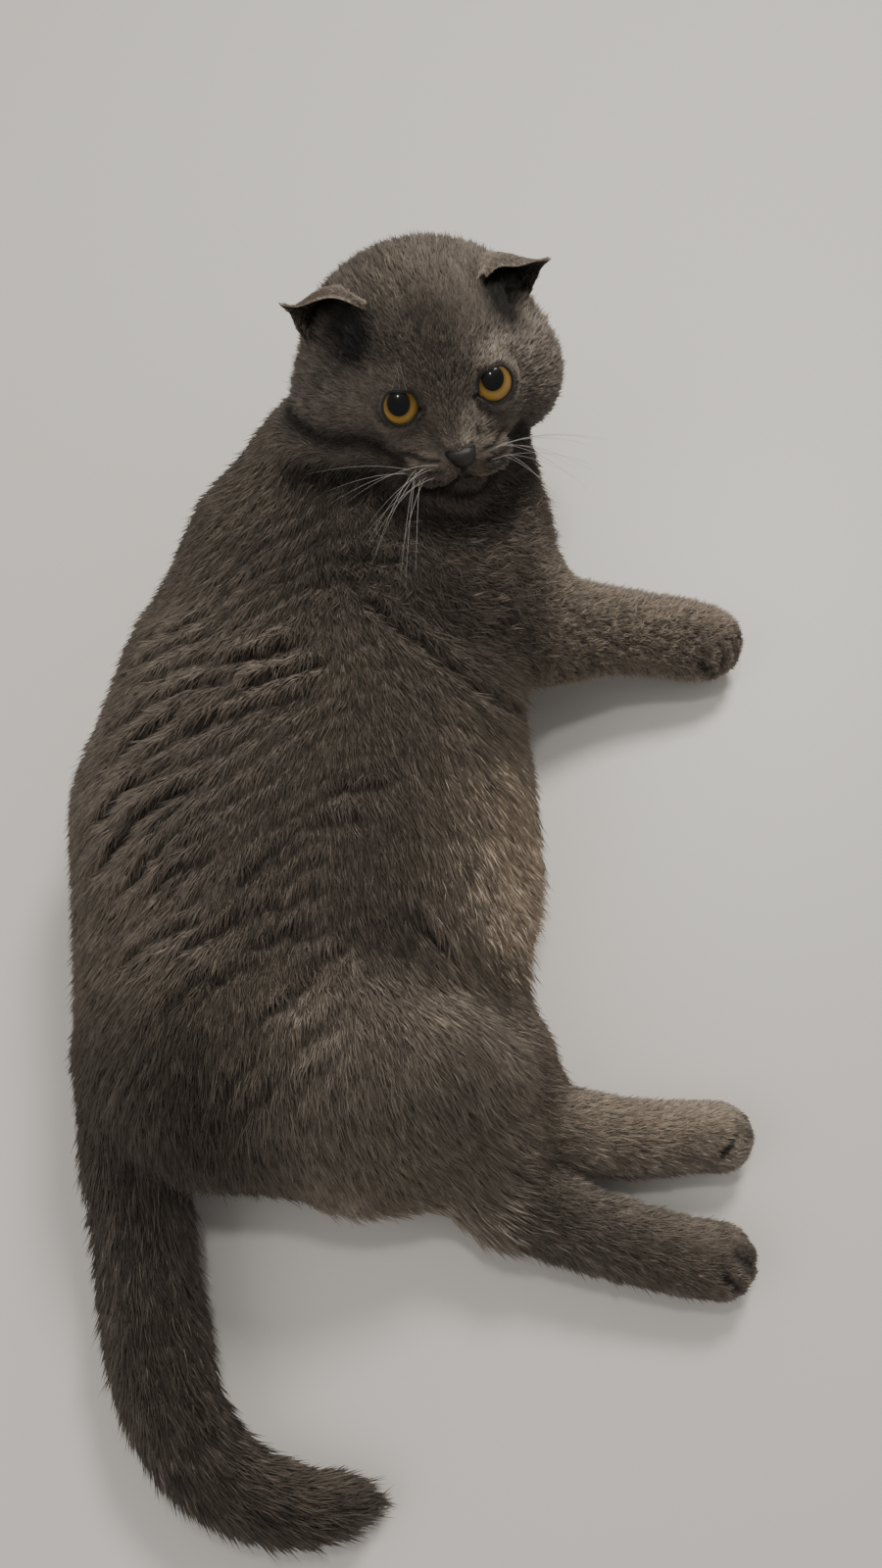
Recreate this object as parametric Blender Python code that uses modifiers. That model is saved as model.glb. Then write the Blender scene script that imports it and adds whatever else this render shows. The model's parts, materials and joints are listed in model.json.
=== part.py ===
"""A scottish fold cat lying on its left side with the head raised and turned back, life size.

Metres, +Z up, floor at z = 0. The head end points to +Y, the belly and the legs to +X and the tail curls
towards -Y. The body is one smooth form, a blend of ellipsoids and tapered limbs whose sizes are listed
below in centimetres. It is modelled whole and then parted with thin cuts into its named parts.
"""

import math

import bmesh
import bpy
import numpy as np
from mathutils import Matrix, Vector

CM = 0.01                    # the tables are in centimetres
OFFSET = (-0.4, 24.1)        # the layout's point that stands over the origin
GAP = 0.0003                 # thin cut between two parts
BODY_VOXEL, HEAD_VOXEL = 0.0055, 0.0033
BODY_TRIANGLES, HEAD_TRIANGLES = 2150, 2470
EAR_THICK = 0.0032
EYE_RADIUS = 1.12

# trunk: centre, radii, yaw in degrees
TRUNK = [
    ((-0.6, 40.6, 7.2), (7.2, 7.4, 8.3), 0),
    ((-5.6, 33.7, 6.8), (10.9, 8.8, 7.5), 20),
    ((-6.9, 26.6, 6.4), (11.7, 9.2, 7.5), 8),
    ((-7.6, 19.8, 6.0), (10.4, 8.2, 6.9), 0),
    ((-10.7, 14.3, 5.6), (6.8, 6.5, 6.4), 0),
]
BELLY = ((-0.6, 23.9, 3.9), (5.6, 9.6, 4.4))
SHOULDER = ((-2.2, 37.4, 9.6), (5.4, 5.0, 4.6))
# limbs: x, y, z and radius of each station
NECK = [(-5.9, 39.0, 7.6, 7.2), (-2.9, 42.3, 9.8, 6.4), (0.1, 44.9, 12.9, 5.5)]
THIGH_R = [(-10.0, 14.6, 7.0, 5.7), (-5.5, 13.4, 6.9, 5.8), (-2.0, 12.9, 6.2, 4.9), (0.5, 12.0, 5.2, 3.3)]
HAM_R = [(-8.4, 12.8, 5.4, 4.4), (-4.0, 11.1, 4.8, 4.3), (0.3, 9.4, 3.7, 2.8), (2.1, 7.7, 3.1, 2.2)]
SHANK_R = [(0.5, 12.0, 5.2, 3.3), (1.4, 9.7, 4.2, 2.9), (2.1, 7.7, 3.0, 2.2)]
FOOT_R = [(2.1, 7.7, 3.0, 2.2), (5.9, 5.8, 2.4, 1.95), (9.8, 4.6, 2.1, 1.8), (12.0, 4.15, 1.9, 1.85)]
SHANK_L = [(0.2, 17.4, 4.1, 3.6), (2.2, 14.0, 3.7, 2.5), (4.0, 10.7, 2.4, 2.2)]
FOOT_L = [(4.0, 10.7, 2.4, 2.2), (8.2, 9.95, 2.1, 1.9), (11.0, 9.9, 2.0, 1.75), (12.7, 9.85, 1.9, 1.75)]
ARM_R = [(-0.8, 38.0, 9.5, 4.6), (3.0, 36.8, 7.6, 4.1), (5.9, 36.3, 5.4, 3.2), (9.4, 36.6, 4.3, 2.45),
         (13.0, 36.6, 3.2, 2.25), (15.0, 36.5, 2.4, 2.2)]
ARM_L = [(0.5, 42.5, 4.6, 4.0), (2.0, 45.5, 2.9, 2.7), (3.2, 50.0, 2.3, 2.1), (4.0, 53.5, 2.0, 2.05)]
TAIL = [(-14.6, 14.0, 5.4, 3.2), (-15.0, 10.4, 4.1, 2.75), (-14.8, 6.4, 3.0, 2.5), (-14.25, 2.6, 2.6, 2.55),
        (-13.3, -0.9, 2.5, 2.4), (-11.3, -3.7, 2.3, 2.15), (-8.5, -5.1, 2.1, 1.9), (-6.2, -5.3, 1.8, 1.55),
        (-4.7, -5.3, 1.2, 0.8)]

# head: its own frame has +X to the cat's left, -Y out of the nose and +Z out of the crown
HEAD_AT = (0.18, 45.25, 16.3)
HEAD_YAW, HEAD_PITCH, HEAD_ROLL = 14.0, -24.7, 0.3
CRANIUM = ((0, 1.0, 0.9), (5.9, 5.2, 4.8))
FOREHEAD = ((0, -1.3, 1.4), (4.4, 3.7, 3.4))
CHEEK = ((3.75, 0.6, -1.5), (3.35, 3.9, 3.5))
FACE = ((0, -2.3, -1.3), (3.9, 3.1, 3.2))
THROAT = ((0, -0.9, -3.5), (3.6, 4.0, 2.0))
BRIDGE = [(0, -3.6, 0.9, 1.42), (0, -5.22, -1.6, 0.90)]
MUZZLE_PAD = ((1.15, -4.85, -2.75), (1.55, 1.3, 1.15))
CHIN = ((0, -4.45, -4.05), (1.4, 1.25, 0.85))
NOSE = ((0, -5.8, -2.15), (0.62, 0.42, 0.42))
SOCKET = ((2.4, -5.5, 0.1), (1.3, 1.15, 1.05))
EYE_AT = (2.24, -3.75, 0.15)
NOSE_CUT = ((0, -6.0, -2.15), (0.85, 0.72, 0.62))

# folded ear, left side: each row runs from the forehead round the back to the outer margin, and the rows
# climb the back wall, turn over the fold and come forward to the rim
EAR_ROWS = [
    [(2.6, -1.6, 3.1), (3.3, 0.2, 3.4), (4.1, 0.9, 3.0), (4.8, 0.9, 2.3), (5.2, 0.3, 1.5)],
    [(2.6, -1.6, 3.6), (3.4, 0.4, 4.0), (4.4, 1.0, 3.65), (5.2, 0.95, 2.95), (5.6, 0.25, 2.3)],
    [(2.7, -1.8, 3.9), (3.6, -0.1, 4.25), (4.65, 0.5, 4.05), (5.45, 0.6, 3.5), (5.9, 0.2, 2.9)],
    [(2.8, -2.0, 3.9), (3.8, -0.75, 4.25), (4.8, -0.2, 4.2), (5.65, 0.1, 3.9), (6.15, 0.1, 3.5)],
    [(2.8, -2.3, 3.65), (3.9, -1.5, 4.0), (4.9, -0.9, 4.1), (5.8, -0.3, 4.0), (6.6, 0.1, 3.9)],
]
# how far each ear's rim stands from that form, from the forehead round to the outer margin
EAR_LIFT = {
    -1: [(-0.09, 0.33, 0.55), (-0.07, 0.33, 0.55), (-0.07, 0.29, 0.46), (-0.04, 0.23, 0.30), (-0.21, 0.25, 0.38)],
    1: [(0.17, 0.26, 0.68), (0.04, 0.17, 0.42), (0.04, -0.01, 0.02), (-0.01, -0.10, -0.22), (0.08, -0.12, -0.20)],
}
EAR_STEPS = 2


# ---------------------------------------------------------------- the body's form as a distance function

def smin(a, b, k):
    h = np.clip(0.5 + 0.5 * (b - a) / k, 0.0, 1.0)
    return b * (1 - h) + a * h - k * h * (1 - h)


def smax(a, b, k):
    return -smin(-a, -b, k)


def turn(yaw=0.0, pitch=0.0, roll=0.0):
    y, p, r = (math.radians(v) for v in (yaw, pitch, roll))
    rz = np.array([[math.cos(y), -math.sin(y), 0], [math.sin(y), math.cos(y), 0], [0, 0, 1]])
    rx = np.array([[1, 0, 0], [0, math.cos(p), -math.sin(p)], [0, math.sin(p), math.cos(p)]])
    ry = np.array([[math.cos(r), 0, math.sin(r)], [0, 1, 0], [-math.sin(r), 0, math.cos(r)]])
    return rz @ rx @ ry


HEAD_TURN = turn(HEAD_YAW, HEAD_PITCH, HEAD_ROLL)


def ellipsoid(P, centre, radii, frame=None):
    q = P - np.array(centre, float)
    if frame is not None:
        q = q @ frame
    r = np.array(radii, float)
    k0 = np.linalg.norm(q / r, axis=1)
    k1 = np.linalg.norm(q / (r * r), axis=1)
    return k0 * (k0 - 1.0) / np.maximum(k1, 1e-9)


def cone(P, a, b):
    a, ra, b, rb = np.array(a[:3], float), a[3], np.array(b[:3], float), b[3]
    ab = b - a
    h = np.clip(((P - a) @ ab) / (ab @ ab), 0, 1)
    return np.linalg.norm(P - a - h[:, None] * ab, axis=1) - (ra + h * (rb - ra))


def limb(P, stations, blend):
    d = None
    for a, b in zip(stations[:-1], stations[1:]):
        e = cone(P, a, b)
        d = e if d is None else smin(d, e, blend)
    return d


def spline(stations, n):
    """Catmull-Rom through the stations, n steps between each two."""
    p = np.array(stations, float)
    p = np.vstack([2 * p[0] - p[1], p, 2 * p[-1] - p[-2]])
    out = []
    for i in range(1, len(p) - 2):
        a, b, c, d = p[i - 1], p[i], p[i + 1], p[i + 2]
        for t in np.linspace(0, 1, n, endpoint=False):
            out.append(0.5 * (2 * b + (c - a) * t + (2 * a - 5 * b + 4 * c - d) * t * t
                              + (3 * b - a - 3 * c + d) * t ** 3))
    out.append(p[-2])
    return np.array(out)


def head_form(P):
    q = (P - np.array(HEAD_AT)) @ HEAD_TURN
    m = q.copy()
    m[:, 0] = np.abs(m[:, 0])
    d = ellipsoid(q, *CRANIUM)
    d = smin(d, ellipsoid(q, *FOREHEAD), 1.2)
    d = smin(d, ellipsoid(m, *CHEEK), 1.4)
    d = smin(d, ellipsoid(q, *FACE), 1.0)
    d = smin(d, ellipsoid(q, *THROAT), 1.0)
    d = smin(d, cone(q, *BRIDGE), 0.8)
    d = smin(d, ellipsoid(m, *MUZZLE_PAD), 0.5)
    d = smin(d, ellipsoid(q, *CHIN), 0.5)
    d = smin(d, ellipsoid(q, *NOSE), 0.3)
    return smax(d, -ellipsoid(m, *SOCKET), 0.5)


def body_form(P):
    d = None
    for centre, radii, yaw in TRUNK:
        e = ellipsoid(P, centre, radii, turn(yaw))
        d = e if d is None else smin(d, e, 3.0)
    d = smin(d, ellipsoid(P, *BELLY), 1.6)
    d = smin(d, ellipsoid(P, *SHOULDER), 2.0)
    d = smin(d, limb(P, NECK, 1.0), 2.2)
    d = smin(d, smin(limb(P, THIGH_R, 1.0), limb(P, HAM_R, 1.0), 1.5), 1.5)
    d = smin(d, smin(limb(P, SHANK_R, 0.5), limb(P, spline(FOOT_R, 3), 0.3), 0.5), 1.2)
    d = smin(d, smin(limb(P, SHANK_L, 0.5), limb(P, spline(FOOT_L, 3), 0.3), 0.6), 0.8)
    d = smin(d, limb(P, spline(ARM_R, 3), 0.3), 1.4)
    d = smin(d, limb(P, spline(ARM_L, 3), 0.3), 1.2)
    d = smin(d, limb(P, spline(TAIL, 4), 0.2), 1.6)
    d = smin(d, head_form(P), 0.9)
    return smax(d, -P[:, 2], 0.25)


def to_metres(P):
    P = np.atleast_2d(np.array(P, float)).copy()
    P[:, :2] -= OFFSET
    return P * CM


def to_table(P):
    P = P / CM
    P[:, :2] += OFFSET
    return P


def onto_form(P, steps=5):
    """Moves points, in table units, onto the form's surface along its gradient."""
    h = 0.02
    for _ in range(steps):
        d = body_form(P)
        g = np.stack([body_form(P + h * e) - body_form(P - h * e) for e in np.eye(3)], axis=1) / (2 * h)
        P = P - np.clip(d, -0.6, 0.6)[:, None] * g / np.maximum((g * g).sum(1), 0.25)[:, None]
    return P


# ---------------------------------------------------------------- scene helpers

def clear_scene():
    for obj in list(bpy.data.objects):
        bpy.data.objects.remove(obj, do_unlink=True)


def new_collection(name):
    made = bpy.data.collections.new(name)
    bpy.context.scene.collection.children.link(made)
    return made


def material(name, colour, roughness):
    made = bpy.data.materials.new(name)
    made.use_nodes = True
    shader = made.node_tree.nodes["Principled BSDF"]
    shader.inputs["Base Color"].default_value = (*colour, 1.0)
    shader.inputs["Roughness"].default_value = roughness
    shader.inputs["Metallic"].default_value = 0.0
    made.diffuse_color = (*colour, 1.0)
    return made


def evaluated_copy(obj):
    bpy.context.view_layer.update()
    graph = bpy.context.evaluated_depsgraph_get()
    mesh = bpy.data.meshes.new_from_object(obj.evaluated_get(graph))
    mesh.transform(obj.matrix_world)
    return mesh


def baked(obj):
    """Applies the object's modifiers and its placing to its mesh."""
    mesh = evaluated_copy(obj)
    obj.modifiers.clear()
    obj.data = mesh
    obj.matrix_world = Matrix.Identity(4)
    return obj


def points_of(mesh):
    P = np.empty(len(mesh.vertices) * 3, np.float32)
    mesh.vertices.foreach_get("co", P)
    return P.reshape(-1, 3).astype(np.float64)


def set_points(mesh, P):
    mesh.vertices.foreach_set("co", P.astype(np.float32).ravel())
    mesh.update()


def add_ball(bm, centre, radii, frame=None, segments=20, rings=12):
    """A sphere scaled to the radii, in table units, turned by the frame."""
    place = Matrix.Translation(Vector(to_metres(centre)[0]))
    if frame is not None:
        place = place @ Matrix(frame.tolist()).to_4x4()
    size = Matrix.Diagonal((*(r * CM for r in radii), 1.0))
    bmesh.ops.create_uvsphere(bm, u_segments=segments, v_segments=rings, radius=1.0, matrix=place @ size)


def add_limb(bm, stations, steps):
    for x, y, z, r in spline(stations, steps):
        add_ball(bm, (x, y, z), (r, r, r), segments=14, rings=8)


def head_point(local):
    return np.array(HEAD_AT) + HEAD_TURN @ np.array(local, float)


def add_head(bm):
    for part in (CRANIUM, FOREHEAD, FACE, THROAT, CHIN, NOSE):
        add_ball(bm, head_point(part[0]), part[1], HEAD_TURN)
    for part in (CHEEK, MUZZLE_PAD):
        for side in (-1, 1):
            add_ball(bm, head_point(np.array(part[0]) * (side, 1, 1)), part[1], HEAD_TURN)
    for x, y, z, r in spline(BRIDGE, 5):
        add_ball(bm, head_point((x, y, z)), (r, r, r), segments=14, rings=8)


def whole_form(name, collection, with_body, voxel, triangles):
    """The body's primitives joined by a voxel remesh, drawn onto the smooth form and thinned out."""
    bm = bmesh.new()
    add_head(bm)
    add_limb(bm, NECK, 4)
    for centre, radii, yaw in TRUNK[:5 if with_body else 2]:
        add_ball(bm, centre, radii, turn(yaw), 28, 16)
    if with_body:
        add_ball(bm, *BELLY)
        add_ball(bm, *SHOULDER)
        for stations, steps in ((THIGH_R, 3), (HAM_R, 4), (SHANK_R, 4), (FOOT_R, 6), (SHANK_L, 5), (FOOT_L, 6),
                                (ARM_R, 6), (ARM_L, 6), (TAIL, 5)):
            add_limb(bm, stations, steps)
    mesh = bpy.data.meshes.new(name)
    bm.to_mesh(mesh)
    bm.free()
    obj = bpy.data.objects.new(name, mesh)
    collection.objects.link(obj)
    for _ in range(2):
        remesh = obj.modifiers.new("join", "REMESH")
        remesh.mode = "VOXEL"
        remesh.voxel_size = voxel
        remesh.adaptivity = 0.0
        baked(obj)
        set_points(obj.data, to_metres_all(onto_form(to_table(points_of(obj.data)))))
    thin = obj.modifiers.new("thin", "DECIMATE")
    thin.ratio = triangles / (2.0 * len(obj.data.polygons))
    thin.use_collapse_triangulate = True
    return baked(obj)


def to_metres_all(P):
    P = P.copy()
    P[:, :2] -= OFFSET
    P *= CM
    P[:, 2] = np.maximum(P[:, 2], 0.0)
    return P


def boolean(obj, cutter, operation):
    cut = obj.modifiers.new("cut", "BOOLEAN")
    cut.operation = operation
    cut.solver = "EXACT"
    cut.object = cutter
    return baked(obj)


def largest_piece(obj):
    """Keeps the largest of the mesh's loose pieces."""
    bm = bmesh.new()
    bm.from_mesh(obj.data)
    left = set(bm.verts)
    pieces = []
    while left:
        stack, seen = [left.pop()], set()
        while stack:
            v = stack.pop()
            seen.add(v)
            for e in v.link_edges:
                w = e.other_vert(v)
                if w in left:
                    left.remove(w)
                    stack.append(w)
        pieces.append(seen)
    pieces.sort(key=len, reverse=True)
    if len(pieces) > 1:
        bmesh.ops.delete(bm, geom=[v for piece in pieces[1:] for v in piece], context="VERTS")
    bm.to_mesh(obj.data)
    bm.free()
    return obj


def helper(obj):
    obj.hide_render = True
    obj.display_type = "WIRE"
    return obj


def ball_cutter(name, centre, radii, frame=None, grow=0.0, segments=18, rings=11):
    bm = bmesh.new()
    add_ball(bm, centre, [r + grow / CM for r in radii], frame, segments, rings)
    mesh = bpy.data.meshes.new(name)
    bm.to_mesh(mesh)
    bm.free()
    obj = bpy.data.objects.new(name, mesh)
    CUTTERS.objects.link(obj)
    return helper(obj)


def box_cutter(name, start, direction, length, half_width, low, high, grow=0.0):
    """A box that begins at a plane through start, across the direction, and runs along it. All in table units."""
    d = Vector(direction).normalized()
    side = Vector((-d.y, d.x, 0.0)).normalized()
    up = d.cross(side)
    g = grow / CM
    bm = bmesh.new()
    bmesh.ops.create_cube(bm, size=1.0)
    size = Matrix.Diagonal((length + 2 * g, 2 * (half_width + g), high - low + 2 * g, 1.0))
    bmesh.ops.transform(bm, matrix=size, verts=bm.verts)
    turned = Matrix((d, side, up)).transposed().to_4x4()
    middle = Vector(start) + d * (length / 2) + up * ((low + high) / 2)
    for v in bm.verts:
        v.co = Vector(to_metres((turned @ v.co) + middle)[0])
    mesh = bpy.data.meshes.new(name)
    bm.to_mesh(mesh)
    bm.free()
    obj = bpy.data.objects.new(name, mesh)
    CUTTERS.objects.link(obj)
    return helper(obj)


def copy_of(obj, name):
    made = bpy.data.objects.new(name, obj.data.copy())
    CAT.objects.link(made)
    return made


def part_off(rest, name, cutter, grown):
    """Takes the part inside the cutter out of the rest, leaving the thin cut between them."""
    part = boolean(copy_of(rest, name), cutter, "INTERSECT")
    boolean(rest, grown, "DIFFERENCE")
    largest_piece(rest)
    return largest_piece(part)


def part_off_ball(rest, name, centre, radii, frame=None, segments=18, rings=11):
    return part_off(rest, name, ball_cutter("cut_" + name, centre, radii, frame, 0.0, segments, rings),
                    ball_cutter("gap_" + name, centre, radii, frame, GAP, segments, rings))


def part_off_box(rest, name, start, direction, length, half_width, low=-12.0, high=12.0):
    return part_off(rest, name, box_cutter("cut_" + name, start, direction, length, half_width, low, high),
                    box_cutter("gap_" + name, start, direction, length, half_width, low, high, GAP))


def ear_rows(side):
    return [[tuple(np.array(p) + np.array(lift) * k / 4) for p, lift in zip(row, EAR_LIFT[side])]
            for k, row in enumerate(EAR_ROWS)]


def ear_points(side):
    rows = [spline([(*p, 0) for p in row], EAR_STEPS)[:, :3] for row in ear_rows(side)]
    columns = [spline([(*row[j], 0) for row in rows], EAR_STEPS)[:, :3] for j in range(len(rows[0]))]
    grid = np.array(columns)
    return grid * (side, 1, 1)


def ear(name, side):
    """The ear's sheet, folded forward, with its own thickness."""
    grid = ear_points(side)
    n, m = grid.shape[:2]
    mesh = bpy.data.meshes.new(name)
    points = [head_point(p) for p in grid.reshape(-1, 3)]
    faces = [(i * m + j, (i + 1) * m + j, (i + 1) * m + j + 1, i * m + j + 1) for i in range(n - 1) for j in range(m - 1)]
    mesh.from_pydata(to_metres(points).tolist(), [], faces)
    obj = bpy.data.objects.new(name, mesh)
    CAT.objects.link(obj)
    thick = obj.modifiers.new("thickness", "SOLIDIFY")
    thick.thickness = EAR_THICK
    thick.offset = 0.0
    baked(obj)
    bm = bmesh.new()
    bm.from_mesh(obj.data)
    bmesh.ops.recalc_face_normals(bm, faces=bm.faces)
    bm.to_mesh(obj.data)
    bm.free()
    return obj


def eye(name, side):
    bm = bmesh.new()
    add_ball(bm, head_point(np.array(EYE_AT) * (side, 1, 1)), (EYE_RADIUS,) * 3, HEAD_TURN, 16, 12)
    mesh = bpy.data.meshes.new(name)
    bm.to_mesh(mesh)
    bm.free()
    obj = bpy.data.objects.new(name, mesh)
    CAT.objects.link(obj)
    return obj


def grown_copy(obj, name, by):
    """A copy whose surface stands out by the given distance, used to cut what rests on the object."""
    made = bpy.data.objects.new(name, obj.data.copy())
    CUTTERS.objects.link(made)
    swell = made.modifiers.new("swell", "DISPLACE")
    swell.strength = by
    swell.mid_level = 0.0
    baked(made)
    return helper(made)


# ---------------------------------------------------------------- the model

clear_scene()
CAT = new_collection("scottish_fold_cat")
CUTTERS = new_collection("cutters")

body = whole_form("abdomen", CAT, True, BODY_VOXEL, BODY_TRIANGLES)
head = whole_form("head", CAT, False, HEAD_VOXEL, HEAD_TRIANGLES)

# the head comes from the finer form, the neck and the rest from the other
HEAD_CUT = (head_point((0, 0.3, -0.3)), (8.3, 9.0, 5.95))
boolean(head, ball_cutter("cut_head", *HEAD_CUT, HEAD_TURN), "INTERSECT")
largest_piece(head)
boolean(body, ball_cutter("gap_head", *HEAD_CUT, HEAD_TURN, GAP), "DIFFERENCE")
largest_piece(body)

# outer parts first, so that each cut crosses only its own limb
part_off_box(body, "tail_tip", (-11.2, -3.6, 2.5), (0.8, -0.6, 0), 12, 4)
part_off_box(body, "tail_middle", (-14.6, 3.6, 2.6), (0.1, -1, 0), 14, 5.5)
part_off_box(body, "tail_base", (-15.0, 9.4, 3.8), (0.05, -1, 0), 8, 3.5)
part_off_box(body, "hind_foot_left", (6.2, 10.5, 2.2), (1, -0.1, 0), 12, 2.6)
part_off_box(body, "hind_leg_left", (3.4, 11.3, 2.5), (1, -0.25, 0), 6, 2.45, -6, 1.9)
part_off_box(body, "hind_foot_right", (3.6, 6.6, 2.7), (0.93, -0.36, 0), 14, 4)
part_off_box(body, "hind_leg_right", (-0.5, 9.5, 4.0), (0.77, -0.64, 0), 9, 6.8)
part_off_ball(body, "thigh_right", (-4.6, 12.2, 8.4), (8.2, 7.4, 6.2))
part_off_box(body, "forepaw_right", (12.6, 36.6, 3.3), (1, 0, -0.28), 8, 4.5)
part_off_box(body, "forearm_right", (7.0, 36.4, 5.0), (0.95, 0.04, -0.3), 12, 5)
part_off_ball(body, "upper_arm_right", (3.4, 36.8, 7.4), (4.7, 4.9, 5.4))
part_off_box(body, "forepaw_left", (3.3, 51.2, 2.2), (0.22, 1, 0), 8, 4)
part_off_box(body, "foreleg_left", (2.4, 48.0, 2.6), (0.24, 1, 0), 8, 4, -6, 4)
part_off_ball(body, "neck", head_point((0, 0.3, -0.9)), (9.4, 9.4, 8.4), HEAD_TURN)
part_off_box(body, "chest", (-4.0, 31.4, 7.0), (0.2, 1, 0), 26, 22)
part_off_box(body, "rump", (-8.0, 17.6, 7.0), (0.0, -1, 0), 16, 16)

# eyes in open sockets, nose leather and ears
for side, name in ((1, "eye_left"), (-1, "eye_right")):
    where = head_point(np.array(EYE_AT) * (side, 1, 1))
    eye(name, side)
    boolean(head, ball_cutter("socket_" + name, where, (EYE_RADIUS,) * 3, HEAD_TURN, GAP, 16, 12), "DIFFERENCE")
part_off_ball(head, "nose", head_point(NOSE_CUT[0]), NOSE_CUT[1], HEAD_TURN, 16, 10)
skull = grown_copy(head, "head_clearance", GAP)
for side, name in ((1, "ear_left"), (-1, "ear_right")):
    largest_piece(boolean(ear(name, side), skull, "DIFFERENCE"))

FUR = (0.105, 0.098, 0.094)
LOOK = {
    "eye_left": ((0.45, 0.24, 0.03), 0.08),
    "eye_right": ((0.45, 0.24, 0.03), 0.08),
    "nose": ((0.035, 0.032, 0.034), 0.5),
    "tail_tip": ((0.075, 0.07, 0.067), 0.85),
    "head": ((0.085, 0.079, 0.077), 0.85),
    "abdomen": ((0.13, 0.115, 0.103), 0.85),
}
for obj in list(CAT.objects):
    colour, rough = LOOK.get(obj.name, (FUR, 0.85))
    obj.data.materials.clear()
    obj.data.materials.append(material(obj.name + "_surface", colour, rough))
    obj.data.shade_smooth()
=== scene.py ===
import json
import math

import bmesh
import bpy
import numpy as np
from mathutils import Matrix, Vector

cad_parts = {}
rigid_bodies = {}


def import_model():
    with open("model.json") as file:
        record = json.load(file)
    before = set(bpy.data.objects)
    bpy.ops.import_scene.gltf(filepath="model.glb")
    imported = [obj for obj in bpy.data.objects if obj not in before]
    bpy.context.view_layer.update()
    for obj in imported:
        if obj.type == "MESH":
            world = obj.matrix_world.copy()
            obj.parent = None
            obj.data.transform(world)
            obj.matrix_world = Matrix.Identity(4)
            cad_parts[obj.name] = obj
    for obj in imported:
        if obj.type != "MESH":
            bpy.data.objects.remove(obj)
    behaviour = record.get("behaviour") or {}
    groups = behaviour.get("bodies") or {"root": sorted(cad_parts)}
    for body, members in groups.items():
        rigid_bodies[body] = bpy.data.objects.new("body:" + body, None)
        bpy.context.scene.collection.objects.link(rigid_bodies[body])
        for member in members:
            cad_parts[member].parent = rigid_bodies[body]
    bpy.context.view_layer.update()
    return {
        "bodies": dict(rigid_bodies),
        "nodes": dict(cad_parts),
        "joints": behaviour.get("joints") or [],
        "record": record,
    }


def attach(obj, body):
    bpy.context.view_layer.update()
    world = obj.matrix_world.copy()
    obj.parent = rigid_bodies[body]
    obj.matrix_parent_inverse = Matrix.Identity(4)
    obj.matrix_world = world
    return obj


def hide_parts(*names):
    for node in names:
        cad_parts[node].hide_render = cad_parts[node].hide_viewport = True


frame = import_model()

# ---------------------------------------------------------------- sizes, in centimetres of the layout
CM = 0.01
OFFSET = np.array((-0.4, 24.1))      # the layout's point that stands over the origin

TRUNK = [
    ((-0.6, 40.6, 7.2), (7.2, 7.4, 8.3), 0),
    ((-5.6, 33.7, 6.8), (10.9, 8.8, 7.5), 20),
    ((-6.9, 26.6, 6.4), (11.7, 9.2, 7.5), 8),
    ((-7.6, 19.8, 6.0), (10.4, 8.2, 6.9), 0),
    ((-10.7, 14.3, 5.6), (6.8, 6.5, 6.4), 0),
]
BELLY = ((-0.6, 23.9, 3.9), (5.6, 9.6, 4.4))
SHOULDER = ((-2.2, 37.4, 9.6), (5.4, 5.0, 4.6))
NECK = [(-5.9, 39.0, 7.6, 7.2), (-2.9, 42.3, 9.8, 6.4), (0.1, 44.9, 12.9, 5.5)]
THIGH_R = [(-10.0, 14.6, 7.0, 5.7), (-5.5, 13.4, 6.9, 5.8), (-2.0, 12.9, 6.2, 4.9), (0.5, 12.0, 5.2, 3.3)]
HAM_R = [(-8.4, 12.8, 5.4, 4.4), (-4.0, 11.1, 4.8, 4.3), (0.3, 9.4, 3.7, 2.8), (2.1, 7.7, 3.1, 2.2)]
SHANK_R = [(0.5, 12.0, 5.2, 3.3), (1.4, 9.7, 4.2, 2.9), (2.1, 7.7, 3.0, 2.2)]
FOOT_R = [(2.1, 7.7, 3.0, 2.2), (5.9, 5.8, 2.4, 1.95), (9.8, 4.6, 2.1, 1.8), (12.0, 4.15, 1.9, 1.85)]
SHANK_L = [(0.2, 17.4, 4.1, 3.6), (2.2, 14.0, 3.7, 2.5), (4.0, 10.7, 2.4, 2.2)]
FOOT_L = [(4.0, 10.7, 2.4, 2.2), (8.2, 9.95, 2.1, 1.9), (11.0, 9.9, 2.0, 1.75), (12.7, 9.85, 1.9, 1.75)]
ARM_R = [(-0.8, 38.0, 9.5, 4.6), (3.0, 36.8, 7.6, 4.1), (5.9, 36.3, 5.4, 3.2), (9.4, 36.6, 4.3, 2.45),
         (13.0, 36.6, 3.2, 2.25), (15.0, 36.5, 2.4, 2.2)]
ARM_L = [(0.5, 42.5, 4.6, 4.0), (2.0, 45.5, 2.9, 2.7), (3.2, 50.0, 2.3, 2.1), (4.0, 53.5, 2.0, 2.05)]
TAIL = [(-14.6, 14.0, 5.4, 3.2), (-15.0, 10.4, 4.1, 2.75), (-14.8, 6.4, 3.0, 2.5), (-14.25, 2.6, 2.6, 2.55),
        (-13.3, -0.9, 2.5, 2.4), (-11.3, -3.7, 2.3, 2.15), (-8.5, -5.1, 2.1, 1.9), (-6.2, -5.3, 1.8, 1.55),
        (-4.7, -5.3, 1.2, 0.8)]

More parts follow.
